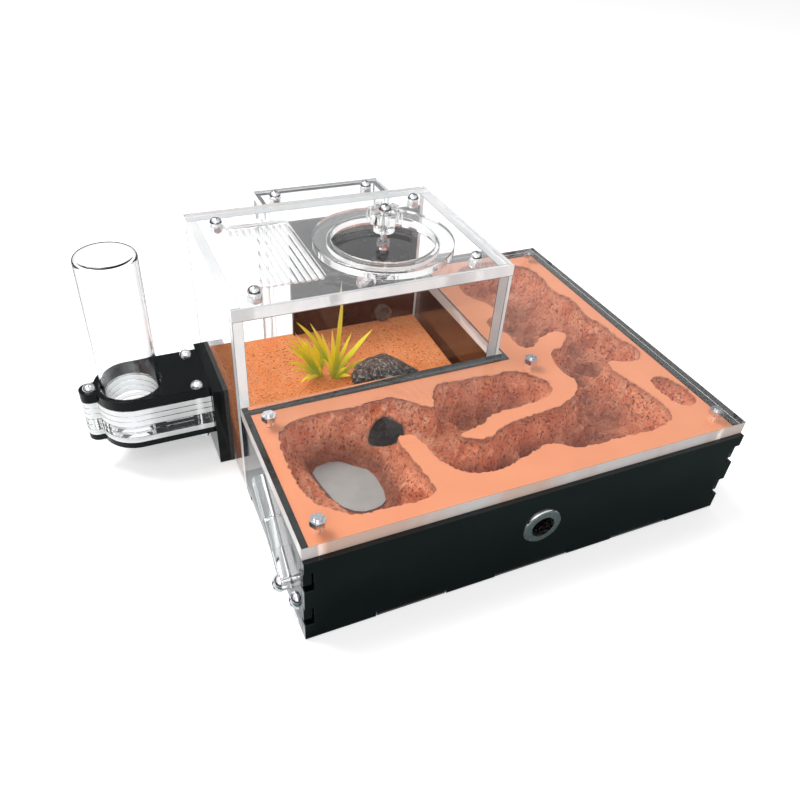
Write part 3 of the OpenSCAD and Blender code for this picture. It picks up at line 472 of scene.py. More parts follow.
def layered_field(points, size, seed, layers=3):
    """Noise from about -1 to 1: layers of grain, each half the size and half the height."""
    total = np.zeros(len(points))
    height = 1.0
    for layer in range(layers):
        total += height * (grain_field(points, size / 2 ** layer, seed + layer) * 2.0 - 1.0)
        height *= 0.5
    return total


def step_up(values, low, high):
    """0 below low, 1 above high, and a smooth step between."""
    part = np.clip((values - low) / (high - low), 0.0, 1.0)
    return part * part * (3.0 - 2.0 * part)


def rounded(ring, times):
    """Corner cutting: each corner gives way to two points at its quarters, several times."""
    for _ in range(times):
        after = np.roll(ring, -1, axis=0)
        quarters = [ring * 0.75 + after * 0.25, ring * 0.25 + after * 0.75]
        ring = np.stack(quarters, axis=1).reshape(-1, 2)
    return ring


def depth_inside(x, y, ring):
    """Distance to the ring, positive inside it: the least distance to its segments, with the sign
    from the count of crossings of a ray along +X."""
    nearest = np.full(x.shape, 1e9)
    inside = np.zeros(x.shape, bool)
    for a, b in zip(ring, np.roll(ring, -1, axis=0)):
        run = b - a
        share = np.clip(((x - a[0]) * run[0] + (y - a[1]) * run[1]) / (run @ run), 0.0, 1.0)
        away = np.hypot(x - a[0] - share * run[0], y - a[1] - share * run[1])
        nearest = np.minimum(nearest, away)
        if a[1] != b[1]:
            crosses = (a[1] > y) != (b[1] > y)
            inside ^= crosses & (x < a[0] + (y - a[1]) * run[0] / run[1])
    return np.where(inside, nearest, -nearest)


def to_part(points):
    """Corner millimetres to the part's metres."""
    return (np.asarray(points, float) + (CORNER_X, CORNER_Y, 0.0)) * MM


def make_piece(name, points, faces, slot, body, replaced, smooth=True, attributes=None):
    """A mesh object from corner millimetres, on its body, in its slot and in place of its nodes."""
    mesh = bpy.data.meshes.new(name)
    mesh.from_pydata(to_part(points).tolist(), [], faces)
    mesh.polygons.foreach_set("use_smooth", np.full(len(mesh.polygons), smooth))
    for key, values in (attributes or {}).items():
        made = mesh.attributes.new(key, "FLOAT", "POINT")
        made.data.foreach_set("value", np.asarray(values, np.float32))
    mesh.materials.append(FINISH_OF_SLOT[slot])
    mesh.update()
    piece = bpy.data.objects.new(name, mesh)
    bpy.context.scene.collection.objects.link(piece)
    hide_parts(*replaced)
    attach(piece, body)


def grid_faces(rows, columns, wrap=False):
    """Quads of a grid of points stored row by row; wrap joins a row's last point to its first."""
    row = np.arange(rows - 1)[:, None]
    column = np.arange(columns if wrap else columns - 1)[None, :]
    after = (column + 1) % columns
    corners = np.stack([row * columns + column, row * columns + after,
                        (row + 1) * columns + after, (row + 1) * columns + column], axis=-1)
    return corners.reshape(-1, 4)


# ---------------------------------------------------------------- carved plaster

# Rims of the galleries, of the blind pit and of the founding chamber, in plan, before rounding
GALLERY_RIM = np.array([
    (9.2, 49.6), (10.4, 61.5), (13.2, 66), (21.6, 70.3), (33.5, 70.5), (45.9, 68.8),
    (56.5, 70.6), (64.2, 70.6), (70.9, 64.6), (77, 58.7), (79.8, 58.2), (83, 68), (89, 73),
    (98, 71), (107, 72), (115, 69), (124, 71), (132, 66), (138, 56), (133, 48), (120, 46),
    (101, 46), (94, 41), (79, 38), (86, 33), (94, 32), (102, 38), (124, 39), (138, 41),
    (151, 51), (147, 64), (151, 78), (160, 79), (169, 89), (165, 93), (155, 91), (145, 83),
    (139, 86), (140, 98), (135, 113), (147, 119), (148, 127), (141, 137), (139, 148),
    (146, 161), (160, 164), (181, 161), (190, 150), (185, 127), (192, 116), (188, 100),
    (192, 90), (191, 76), (196, 66), (190, 57), (182, 58), (175, 63), (171, 58), (174, 45),
    (179, 22), (170, 12), (140, 14), (125, 13), (114, 22), (104, 18), (86, 14), (74, 16),
    (65, 29), (65, 42), (60, 47), (54.6, 44.5), (56.2, 35), (56.8, 24), (58.4, 12.8),
    (53, 10.2), (46, 10), (38, 10.7), (30, 11.3), (23, 12.4), (12.4, 21.5), (9.2, 33)], float)
PIT_RIM = np.array([
    (182, 39), (186, 44), (192, 42), (196, 31), (194, 22), (188, 20), (183, 24)], float)
FOUNDING_RIM = np.array([
    (23, 64), (36, 66), (43.5, 60), (49.5, 53), (50, 36), (45, 24), (34, 23), (27, 39),
    (24.5, 53)], float)
# Deeper hollows in the galleries' floors: middle x and y, and radius
HOLLOWS = [
    (99, 61, 8), (111, 60, 8), (122, 58, 8), (78, 26, 6.5), (89, 24, 6), (101, 27, 6),
    (114, 31, 5.5), (127, 27, 8), (140, 28, 9), (153, 30, 10), (163, 42, 9), (162, 56, 7),
    (165, 70, 6), (178, 76, 8), (180, 92, 7), (176, 106, 8), (162, 104, 8), (150, 101, 6),
    (164, 120, 10), (170, 136, 11), (156, 146, 9)]
# Middle of the shaft's mouth, and its half widths along x and y
SHAFT = (58.4, 61.2, 9.0, 5.2)
# The block's outline: its grid lines at the L's corners, and the grid's steps between them
BLOCK_X, STEPS_X = (3.5, 128.9, 196.5), (251, 136)
BLOCK_Y, STEPS_Y = (1.5, 78.5, 167.5), (154, 178)
# Its underside and its top, and how high the carvings' floors lie
BLOCK_Z, TOP_Z = 3.0, 43.5
GALLERY_Z = 29.0
HOLLOW_Z = 22.0
FOUNDING_Z = 20.0
SHAFT_Z = 8.0
# How far the plaster is sunk below the grey floor, and the least that it stays below it
SUNK, LEAST_SUNK = 1.0, 0.4
# The blind bores behind the tube port and behind the ant door: axis, radius and inner end
PORT_X, PORT_Z, PORT_R, PORT_END = 100.0, 25.5, 6.15, 15.0
DOOR_Y, DOOR_Z, DOOR_R, DOOR_END = 46.14, 36.2, 3.5, 9.0
BORE_POINTS = 32
# The value of the depth shade and of carved at which the finish paints near black: painted shade in
# the bores, where no light gets in
BORE_SHADE = 2.0


def carved_surface(x, y):
    """Places of the carved surface on a grid, how carved it is, its depth shade, and where its
    crumbs stand out; the finish paints shade by the depth shade and a highlight on the crumbs. From
    the rim the wall falls along a quarter sine to the floor, most steeply on the front side; the
    floor dips towards each hollow, to the founding chamber and down the shaft. Lumps and grains
    then push the surface along its own normal."""
    x_line, y_line = x[0], y[:, 0]
    flat = np.stack([x.ravel(), y.ravel(), np.zeros(x.size)], axis=1)
    wander = layered_field(flat, 6.0, 11) * 1.1 + layered_field(flat, 2.2, 23) * 0.6
    wander = wander.reshape(x.shape)
    ragged = (layered_field(flat, 1.9, 41, 2) * 0.55).reshape(x.shape)
    gallery = depth_inside(x, y, rounded(GALLERY_RIM, 2))
    pit = depth_inside(x, y, rounded(PIT_RIM, 2))
    founding = depth_inside(x, y, rounded(FOUNDING_RIM, 2))
    inside = np.maximum(gallery, pit) + ragged
    gain_y, gain_x = np.gradient(gallery, y_line, x_line)
    near_side = step_up(0.43 * gain_x + 0.9 * gain_y, 0.1, 0.8)
    depth = inside + wander * step_up(inside, 0.3, 3.0)
    floor = np.full_like(x, GALLERY_Z)
    for hx, hy, hr in HOLLOWS:
        reach = np.hypot(x - hx, y - hy) + wander
        dish = HOLLOW_Z + (GALLERY_Z - HOLLOW_Z) * step_up(reach, hr * 0.35, hr * 1.25)
        floor = np.minimum(floor, dish)
    sink = step_up(founding + wander * 0.7, -5.5, 0.4)
    floor = floor + (FOUNDING_Z - SUNK - floor) * sink
    # Width of the wall in plan: less on the front side, and more in the slope behind the shaft
    wall = (7.8 - 1.8 * step_up(x, 60.0, 75.0)) * (1.0 - 0.62 * near_side)
    wall = wall + 9.0 * np.exp(-((x - SHAFT[0]) / 9.0) ** 2 - ((y - 69.0) / 7.0) ** 2)
    fall = np.sin(np.clip(depth / wall, 0.0, 1.0) * math.pi / 2.0) ** 0.9
    z = TOP_Z - (TOP_Z - floor) * fall
    # From 1 in the middle of the shaft's mouth, through 0 at its rim, to less than 0 outside
    mouth = 1.0 - np.hypot((x - SHAFT[0]) / SHAFT[2], (y - SHAFT[1]) / SHAFT[3])
    into_shaft = step_up(mouth, 0.16, 0.36)
    z = np.minimum(z, z + (SHAFT_Z - z) * into_shaft)
    slope_y, slope_x = np.gradient(z, y_line, x_line)
    normal = np.stack([-slope_x, -slope_y, np.ones_like(z)], axis=-1)
    normal /= np.linalg.norm(normal, axis=-1)[..., None]
    places = np.stack([x, y, z], axis=-1)
    lump = (layered_field(places.reshape(-1, 3), 4.2, 5) * 0.7).reshape(x.shape)
    grain = (layered_field(places.reshape(-1, 3), 1.9, 17, 2) * 0.5).reshape(x.shape)
    rough = step_up(inside, 0.0, 1.6) * (1.0 - step_up(founding, 0.0, 1.0))
    rough = rough * (1.0 - step_up(mouth, -0.22, 0.0)) * (0.3 + 0.7 * normal[..., 2])
    places = places + normal * ((lump + grain) * rough)[..., None]
    z = places[..., 2]
    z = np.where(inside > 0.0, np.minimum(z, TOP_Z - 0.05), TOP_Z)
    places[..., 2] = np.where(founding > 0.6, np.minimum(z, FOUNDING_Z - LEAST_SUNK), z)
    carved = step_up(inside, -0.15, 0.5)
    # Depth shade: how deep the surface lies, raised in the shaft's mouth; the finish paints shade
    # by it
    depth_shade = np.clip((TOP_Z - z) / (TOP_Z - HOLLOW_Z), 0.0, 1.0)
    depth_shade = np.maximum(depth_shade, 0.9 * step_up(mouth, -0.12, 0.02)) + step_up(mouth, 0.07, 0.16)
    # How far the crumbs stand out; the finish paints them lighter, a painted highlight
    crumb = np.clip(0.5 + 0.22 * lump + 0.4 * grain, 0.0, 1.0)
    return places, carved, depth_shade, crumb


def side_with_hole(left, right, run, ring, split):
    """Two faces of a side of the block, above and below the axis of a hole in it. left and right
    are the corners' upright chains from the top down, run the top edge from left to right, and
    ring the hole from its left point over its top."""
    half = len(ring) // 2
    at_left = left.index(split[0])
    at_right = right.index(split[1])
    upper = [split[0], *ring[:half + 1], *right[at_right::-1], *run[1:-1][::-1], *left[:at_left]]
    lower = [*left[:at_left:-1], *right[:at_right:-1], split[1], *ring[half:], ring[0], split[0]]
    return [upper, lower]


def grid_line(marks, steps):
    """Even steps from the first mark to the second, and from there to the third."""
    return np.concatenate([np.linspace(marks[0], marks[1], steps[0] + 1),
                           np.linspace(marks[1], marks[2], steps[1] + 1)[1:]])


def carve_nest():
    """The plaster block: a height field over the L, with flat sides, a flat underside and blind
    bores behind the tube port and behind the ant door."""
    x_line = grid_line(BLOCK_X, STEPS_X)
    y_line = grid_line(BLOCK_Y, STEPS_Y)
    x, y = np.meshgrid(x_line, y_line)
    kept = (y <= BLOCK_Y[1] + 1e-6) | (x >= BLOCK_X[1] - 1e-6)
    places, carved, depth_shade, crumb = (values[kept] for values in carved_surface(x, y))
    number = np.full(x.shape, -1)
    number[kept] = np.arange(kept.sum())
    corners = number.ravel()[grid_faces(len(y_line), len(x_line))]
    faces = corners[(corners >= 0).all(axis=1)].tolist()
    count = len(places)
    extra = []

    def add(*place):
        extra.append(place)
        return count + len(extra) - 1

    # The L's corners, from the front left one on; a chain runs down each, with a point at the
    # level of each hole in the sides that meet there
    turn_i, turn_j = STEPS_X[0], STEPS_Y[0]
    last_i, last_j = sum(STEPS_X), sum(STEPS_Y)
    plan = {"a": (0, 0), "b": (last_i, 0), "c": (last_i, last_j), "d": (turn_i, last_j),
            "e": (turn_i, turn_j), "f": (0, turn_j)}
    levels = {"a": [DOOR_Z, PORT_Z], "b": [PORT_Z], "c": [], "d": [], "e": [], "f": [DOOR_Z]}
    chains = {}
    for key, (i, j) in plan.items():
        middle = [add(x_line[i], y_line[j], level) for level in levels[key]]
        chains[key] = [int(number[j, i]), *middle, add(x_line[i], y_line[j], BLOCK_Z)]

    def edge(start, end):
        (i0, j0), (i1, j1) = plan[start], plan[end]
        steps = max(abs(i1 - i0), abs(j1 - j0)) + 1
        rows = np.linspace(j0, j1, steps).round().astype(int)
        across = np.linspace(i0, i1, steps).round().astype(int)
        return number[rows, across].tolist()

    turn = math.pi - np.arange(BORE_POINTS) * 2.0 * math.pi / BORE_POINTS

    def front_ring(y_at):
        return [add(PORT_X + PORT_R * math.cos(angle), y_at, PORT_Z + PORT_R * math.sin(angle))
                for angle in turn]

    def side_ring(x_at):
        return [add(x_at, DOOR_Y - DOOR_R * math.cos(angle), DOOR_Z + DOOR_R * math.sin(angle))
                for angle in turn]

    front, front_end = front_ring(BLOCK_Y[0]), front_ring(PORT_END)
    side, side_end = side_ring(BLOCK_X[0]), side_ring(DOOR_END)
    faces += side_with_hole(chains["a"], chains["b"], edge("a", "b"), front,
                            (chains["a"][2], chains["b"][1]))
    faces += side_with_hole(chains["f"], chains["a"], edge("f", "a"), side,
                            (chains["f"][1], chains["a"][1]))
    for start, end in (("b", "c"), ("c", "d"), ("d", "e"), ("e", "f")):
        faces.append([chains[start][-1], *chains[end][::-1], *edge(start, end)[1:-1][::-1],
                      *chains[start][:-1]])
    for ring, ring_end in ((front, front_end), (side, side_end)):
        for k in range(BORE_POINTS):
            after = (k + 1) % BORE_POINTS
            faces.append([ring[k], ring[after], ring_end[after], ring_end[k]])
        faces.append(ring_end)
    faces.append([chains[key][-1] for key in "afedcb"])
    blank = np.zeros(len(extra))
    # The bores' points get painted shade, near black
    blank[[k - count for k in front + front_end + side + side_end]] = BORE_SHADE
    shades = {"carved": np.concatenate([carved, blank]), "depth_shade": np.concatenate([depth_shade, blank]),
              "crumb": np.concatenate([crumb, blank])}
    make_piece("carved_plaster", np.concatenate([places, extra]), faces, "nest_plaster", "habitat",
               ("nest_plaster_a", "nest_plaster_b", "nest_plaster_c", "nest_plaster_d"), False,
               shades)


# ---------------------------------------------------------------- outworld

# The sand's gap to its node's sides, its mean depth below the node's top, and its rise
SAND_GAP, SAND_BELOW, SAND_RISE = 0.02, 0.28, 1.7
# The most that a field of three layers reaches
THREE_LAYERS = 1.75


def spread_sand():
    """The sand layer: a height field with low swells that rises a little to the back, closed by
    upright sides and a flat underside."""
    low, high = (np.array(v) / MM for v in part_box("sand_layer"))
    columns, rows = 154, 110
    x_line = np.linspace(low[0] + SAND_GAP, high[0] - SAND_GAP, columns)
    y_line = np.linspace(low[1] + SAND_GAP, high[1] - SAND_GAP, rows)
    x, y = (v.ravel() for v in np.meshgrid(x_line, y_line))
    flat = np.stack([x, y, np.zeros_like(x)], axis=1)
    rise = SAND_RISE * step_up(y, low[1] + 0.25 * (high[1] - low[1]), high[1] + 6.0)
    swells = 0.16 * layered_field(flat, 16.0, 3) + 0.1 * layered_field(flat, 1.6, 7)
    z = high[2] - SAND_BELOW + rise + swells / THREE_LAYERS
    under = np.stack([x, y, np.full_like(x, low[2] + SAND_GAP)], axis=1)
    top = np.stack([x, y, np.minimum(z, high[2] + rise)], axis=1)
    size = rows * columns
    border = np.concatenate([np.arange(columns), np.arange(1, rows) * columns + columns - 1,
                             (rows - 1) * columns + np.arange(columns - 2, -1, -1),
                             np.arange(rows - 2, 0, -1) * columns])
    after = np.roll(border, -1)
    faces = grid_faces(rows, columns).tolist()
    faces += (grid_faces(rows, columns)[:, ::-1] + size).tolist()
    faces += np.stack([border + size, after + size, after, border], axis=1).tolist()
    points = np.concatenate([top, under]) - (CORNER_X, CORNER_Y, 0.0)
    make_piece("sand_bed", points, faces, "sand", "habitat", ("sand_layer",))


# Which way the stone's facets face, and how far from its middle each cuts
FACETS = np.array([(0.2, -0.3, 1.0), (-1.0, 0.1, 0.55), (0.9, 0.15, 0.75), (0.15, -1.0, 0.6),
                   (-0.2, 1.0, 0.5), (0.75, -0.7, 0.3), (-0.7, -0.75, 0.35), (0.0, 0.2, -1.0)])
FACET_REACH = np.array([0.78, 0.86, 0.74, 0.82, 0.85, 0.88, 0.86, 0.7])
FACET_BLEND = 9.0
STONE_INSET = 0.25
# Depth below its foot from which the stone's height is scaled down towards its right end
STONE_BURIED = 2.0


def rough_stone():
    """The stone: a globe whose radius is the soft least of 1 and the cuts of its facets, broken up
    by noise, stretched to its CAD node's box and sloped down to its right end."""
    low, high = (np.array(v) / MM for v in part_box("stone"))
    rows, columns = 72, 120
    up = np.linspace(0.0, math.pi, rows)[:, None]
    round_it = np.linspace(0.0, 2.0 * math.pi, columns, endpoint=False)[None, :]
    ball = np.stack([np.sin(up) * np.cos(round_it), np.sin(up) * np.sin(round_it),
                     -np.cos(up) * np.ones_like(round_it)], axis=-1).reshape(-1, 3)
    facing = FACETS / np.linalg.norm(FACETS, axis=1)[:, None]
    cut = FACET_REACH[None, :] / np.maximum(ball @ facing.T, 0.05)
    # A soft minimum of the radius 1 and of the cuts
    parts = np.exp(-FACET_BLEND * np.minimum(cut, 3.0)).sum(axis=1) + math.exp(-FACET_BLEND)
    shape = ball * (-np.log(parts) / FACET_BLEND)[:, None]
    ridge = layered_field(ball * 10.0, 5.0, 31, 4) * 0.085
    ridge = ridge + layered_field(ball * 10.0, 1.3, 37, 2) * 0.034
    shape = shape * (1.0 + ridge)[:, None]
    shape = (shape - shape.min(axis=0)) / (shape.max(axis=0) - shape.min(axis=0))
    points = low + STONE_INSET + shape * (high - low - 2.0 * STONE_INSET)
    slope = 1.0 - 0.42 * step_up(points[:, 0], low[0] + 0.45 * (high[0] - low[0]), high[0])
    buried = low[2] - STONE_BURIED
    points[:, 2] = np.maximum(low[2] + 0.02, buried + (points[:, 2] - buried) * slope)
    points -= (CORNER_X, CORNER_Y, 0.0)
    # Each pole's row of equal points becomes one point, with a fan of triangles round it
    points = np.concatenate([points[:1], points[columns:-columns], points[-1:]])
    final = len(points) - 1
    ring = np.arange(columns)
    after = (ring + 1) % columns
    faces = (grid_faces(rows - 2, columns, True) + 1).tolist()
    faces += np.stack([np.zeros_like(ring), after + 1, ring + 1], axis=1).tolist()
    start = final - columns
    faces += np.stack([ring + start, after + start, np.full_like(ring, final)], axis=1).tolist()
    make_piece("speckled_stone", points, faces, "stone", "habitat", ("stone",))


# Each leaf: foot x and y, tip x, y and z, width, and how far its middle bows up
LEAVES = [
    (57.6, 125.4, 61.6, 126.4, 71.5, 2.5, 0.03), (58.4, 124.8, 77.6, 126.2, 46.4, 2.6, 0.08),
    (59.0, 124.0, 74.4, 125.8, 29.6, 2.0, 0.10), (58.6, 123.6, 64.6, 121.0, 24.2, 1.8, 0.2),
    (57.0, 126.4, 44.9, 126.0, 56.4, 2.4, 0.12), (56.4, 125.8, 38.2, 126.0, 58.2, 2.3, 0.14),
    (58.2, 126.6, 68.0, 130.0, 44.0, 2.0, 0.08), (56.8, 127.4, 52.0, 130.0, 47.0, 2.1, 0.08),
    (56.2, 124.4, 50.0, 121.5, 38.0, 1.9, 0.10), (57.4, 123.8, 61.4, 119.4, 31.5, 1.8, 0.14),
    (58.8, 125.8, 70.4, 127.0, 39.0, 2.1, 0.10), (57.8, 126.0, 56.4, 127.0, 50.0, 2.2, 0.03),
    (49.8, 129.2, 33.6, 126.0, 51.4, 2.2, 0.12), (49.4, 128.4, 33.4, 126.0, 46.8, 2.2, 0.13),
    (50.2, 128.8, 37.5, 126.0, 52.3, 2.4, 0.08), (50.8, 128.4, 41.4, 124.0, 50.0, 2.2, 0.12),
    (49.2, 128.0, 33.0, 124.5, 37.4, 2.0, 0.12), (49.6, 127.6, 34.6, 125.6, 32.1, 1.9, 0.10),
    (50.0, 127.2, 40.6, 119.5, 27.5, 1.8, 0.16), (51.0, 127.8, 48.0, 120.6, 33.5, 1.9, 0.14),
    (51.2, 129.6, 52.4, 133.5, 43.5, 2.1, 0.10), (50.4, 130.2, 43.0, 134.0, 43.0, 2.0, 0.12),
    (49.0, 129.8, 35.5, 131.5, 40.0, 2.0, 0.14), (51.4, 128.8, 46.4, 126.0, 47.0, 2.3, 0.08),
    (50.6, 129.0, 54.6, 128.2, 40.0, 2.0, 0.06), (57.0, 127.8, 49.4, 131.0, 39.0, 2.0, 0.12),
    (59.2, 126.8, 71.6, 130.0, 36.5, 1.9, 0.12), (48.8, 127.6, 38.2, 122.2, 25.2, 1.8, 0.2),
    (50.2, 128.2, 36.0, 127.0, 43.0, 2.0, 0.16), (51.6, 128.0, 44.0, 123.0, 41.0, 2.0, 0.12),
    (57.6, 126.8, 60.0, 129.0, 42.0, 2.0, 0.05), (58.0, 124.6, 66.0, 124.0, 35.0, 1.9, 0.12),
    (49.4, 129.4, 40.0, 130.0, 36.0, 1.9, 0.18), (56.6, 125.0, 52.6, 124.0, 44.0, 2.0, 0.06)]
LEAF_FOOT_Z = 22.1
# The side that the leaves turn their breadth to
BROADSIDE = np.array([-0.34, -0.7, 0.3])


def grow_leaves():
    """The planting: each leaf is a lens-shaped section carried along a bowed line from its foot to
    its tip; it widens to its middle and closes to a point."""
    low = np.array(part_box("plant")[0]) / MM - (CORNER_X, CORNER_Y, 0.0)
    steps, around = 16, 8
    points, faces, along = [], [], []
    base = grid_faces(steps, around, True)
    t = np.linspace(0.0, 1.0, steps)[:, None]
    turn = np.arange(around) * 2.0 * math.pi / around
    for number, (fx, fy, tx, ty, tz, width, bow) in enumerate(LEAVES):
        foot, tip = np.array([fx, fy, LEAF_FOOT_Z]), np.array([tx, ty, tz])
        rise = np.array([0.0, 0.0, np.linalg.norm(tip - foot) * bow])
        line = foot + (tip - foot) * t + rise * np.sin(math.pi * t ** 0.8)
        ahead = np.gradient(line, axis=0)
        ahead /= np.linalg.norm(ahead, axis=1)[:, None]
        twist = np.array([math.cos(number * 2.4), math.sin(number * 2.4), 0.0]) * 0.35
        across = np.cross(ahead, BROADSIDE + twist)
        across /= np.linalg.norm(across, axis=1)[:, None]
        through = np.cross(across, ahead)
        swell = 0.42 + 0.58 * np.sin(math.pi * np.minimum(t * 0.85 + 0.08, 1.0))
        half = width / 2.0 * swell * (1.0 - t ** 5)
        thick = 0.34 * (1.0 - 0.75 * t) + 0.02
        wide = np.cos(turn)[None, :] * half
        raised = np.sin(turn)[None, :] * thick + 0.28 * half * np.cos(turn)[None, :] ** 2
        ring = line[:, None, :] + across[:, None, :] * wide[..., None]
        ring = ring + through[:, None, :] * raised[..., None]
        start = len(points) * steps * around
        points.append(ring.reshape(-1, 3))
        faces += (base + start).tolist()
        faces.append(list(range(start + around - 1, start - 1, -1)))
        faces.append(list(range(start + (steps - 1) * around, start + steps * around)))
        along.append(np.repeat(t[:, 0] * (0.75 + 0.25 * math.cos(number * 1.7)) + 0.04, around))
    places = np.maximum(np.concatenate(points), low + 0.05)
    make_piece("leaf_tuft", places, faces, "leaf", "habitat", ("plant",), True,
               {"along": np.concatenate(along)})


carve_nest()
spread_sand()
rough_stone()
grow_leaves()


# ---------------------------------------------------------------- sheet edges and finishes

slot_of = {part["node"]: part["material_slot"] for part in frame["record"]["subparts"]}
body_with = {name: body for body, names in frame["record"]["behaviour"]["bodies"].items()
             for name in names}
# Clear sheets with milky cut edges, and the axis that their thickness runs along
MILKY = {"nest_cover": 2, "top_plate": 2, "box_front_wall": 1, "box_left_wall": 0,
         "box_right_wall": 0, "box_back_wall": 1, "feeder_layers": 2, "tower_lid": 2}
# Clear pieces with a finish of their own
SHEET_OF = {"nest_cover": COVER, "top_plate": TOP_SHEET, "box_right_wall": BOX_SHEET,
            "clear_plug": PLUG}
# Clear sheets whose corners show as grey lines of painted reflection
OUTLINED = {"nest_cover", "top_plate", "box_front_wall", "box_left_wall", "box_right_wall",
            "box_back_wall", "tower_lid", "tower_left_wall", "tower_right_wall", "tower_back_wall",
            "gate_lever"}
# Widths in millimetres of the rounded edges, and how far a clear sheet keeps from its seams
CLEAR_ROUNDING = 0.22
BLACK_ROUNDING = 0.2
TUBE_ROUNDING = 0.7
SEAM = 0.03


def round_edges(piece, width_mm):
    """Rounds a sheet's sharp edges, in its third finish, which on outlined clear sheets is a
    painted reflection line, and keeps its flat faces flat.
    """
    edge = piece.modifiers.new("edge", "BEVEL")
    edge.width = width_mm * MM
    edge.segments = 2
    edge.limit_method = "ANGLE"
    edge.angle_limit = math.radians(40.0)
    edge.harden_normals = True
    edge.material = 2


def draw_in(mesh, gap_mm):
    """Moves every face in by the gap, so that cemented sheets show the seam between them: each
    vertex takes the least-squares step that goes that far in from all the faces round it."""
    count = len(mesh.vertices)
    places = np.empty(count * 3)
    mesh.vertices.foreach_get("co", places)
    normals = np.empty(len(mesh.polygons) * 3)
    mesh.polygons.foreach_get("normal", normals)
    totals = np.empty(len(mesh.polygons), np.int64)
    mesh.polygons.foreach_get("loop_total", totals)
    corners = np.empty(len(mesh.loops), np.int64)
    mesh.loops.foreach_get("vertex_index", corners)
    facing = np.repeat(normals.reshape(-1, 3), totals, axis=0)
    squares = np.zeros((count, 3, 3))
    np.add.at(squares, corners, facing[:, :, None] * facing[:, None, :])
    pull = np.zeros((count, 3))
    np.add.at(pull, corners, -gap_mm * MM * facing)
    step = (np.linalg.pinv(squares, rcond=0.03, hermitian=True) @ pull[..., None])[..., 0]
    mesh.vertices.foreach_set("co", places + step.ravel())


def dress_sheet(name, finish, edge_finish, outline, width_mm, gap_mm, axis=None):
    """A sheet in place of its CAD node: merged by distance, its flat faces joined up, and rounded.
    Its cut edges, the faces that stand along its thickness, and its rounded corners have finishes
    of their own; the corners' finish paints a grey reflection on outlined clear sheets."""
    node = nodes[name]
    mesh = node.data.copy()
    mesh.transform(node.matrix_world)
    work = bmesh.new()
    work.from_mesh(mesh)
    bmesh.ops.remove_doubles(work, verts=work.verts, dist=0.000002)
    bmesh.ops.dissolve_limit(work, angle_limit=math.radians(0.6), verts=work.verts,
                             edges=work.edges)
    work.to_mesh(mesh)
    work.free()
    normals = np.empty(len(mesh.polygons) * 3)
    mesh.polygons.foreach_get("normal", normals)
    facing = normals.reshape(-1, 3)
    if gap_mm:
        draw_in(mesh, gap_mm)
    mesh.materials.clear()
    mesh.materials.append(finish)
    mesh.materials.append(edge_finish or finish)
    mesh.materials.append(outline or finish)
    if axis is not None:
        cut = np.abs(facing[:, axis]) < 0.5
        if name == "nest_cover":
            # Only its front and left faces are milky
            cut &= facing[:, :2].min(axis=1) < -0.5
        mesh.polygons.foreach_set("material_index", cut.astype(np.int32))
    mesh.polygons.foreach_set("use_smooth", np.ones(len(mesh.polygons), bool))
    mesh.set_sharp_from_angle(angle=math.radians(32.0))
    mesh.update()
    piece = bpy.data.objects.new(name + "_sheet", mesh)
    bpy.context.scene.collection.objects.link(piece)
    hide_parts(name)
    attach(piece, body_with[name])
    round_edges(piece, width_mm)


def dress_nodes():
    """Each CAD node that still shows gets its finish, and a sheet gets its cleaned copy."""
    for name, piece in list(nodes.items()):
        if piece.hide_render:
            continue
        slot = slot_of[name]
        finish = FINISH_OF_SLOT[slot]
        if slot == "clear_acrylic":
            sheet = SHEET_OF.get(name, finish)
            cut = COVER_EDGE if name == "nest_cover" else EDGE
            line = OUTLINE if name in OUTLINED else None
            dress_sheet(name, sheet, cut, line, CLEAR_ROUNDING, SEAM, MILKY.get(name))
        elif slot == "black_acrylic" and name != "dark_panel":
            black = FEEDER_BLACK if name.startswith("feeder") else finish
            dress_sheet(name, black, None, None, BLACK_ROUNDING, 0.0)
        elif slot == "clear_tube":
            dress_sheet(name, finish, None, None, TUBE_ROUNDING, SEAM)
        else:
            if name == "dark_panel":
                finish = PANEL
            # The lid's steel takes the darker copy: painted shade
            elif slot == "steel" and name.startswith("lid"):
                finish = SHADED_STEEL
            piece.data.materials.clear()
            piece.data.materials.append(finish)


dress_nodes()


# ---------------------------------------------------------------- stage and light

# Rays that see the white room as it is
SEEN_RAYS = ("Is Camera Ray", "Is Glossy Ray", "Is Transmission Ray")
# Heights in metres of the floor and of the cloths that lie on it
FLOOR_Z = -0.0004
CLOTH_Z = -0.0002
FLOOR_REACH = 6.0
BAND_POINTS = 48
ONE_FACE = [(0, 1, 2, 3)]


def rectangle(low_x, low_y, high_x, high_y, z):
    """The corners of a level rectangle."""
    return [(low_x, low_y, z), (high_x, low_y, z), (high_x, high_y, z), (low_x, high_y, z)]


def lay_floor():
    """A wide pale floor; the camera sees it a little brighter, and the object's shadow stays."""
    mesh = bpy.data.meshes.new("studio_floor")
    corners = rectangle(-FLOOR_REACH, -FLOOR_REACH, FLOOR_REACH, FLOOR_REACH, FLOOR_Z)
    mesh.from_pydata(corners, [], ONE_FACE)
    made = Finish("studio_floor", Base_Color=(0.9, 0.9, 0.9, 1.0), Roughness=0.9,
                  Specular_IOR_Level=0.0)
    glow = made.node("ShaderNodeEmission", Strength=0.42)
    both = made.node("ShaderNodeAddShader")
    made.link(made.shader.outputs[0], both.inputs[0])
    made.link(glow.outputs[0], both.inputs[1])
    made.for_rays(SEEN_RAYS, both.outputs[0])
    mesh.materials.append(made.material)
    floor = bpy.data.objects.new("studio_floor", mesh)
    bpy.context.scene.collection.objects.link(floor)


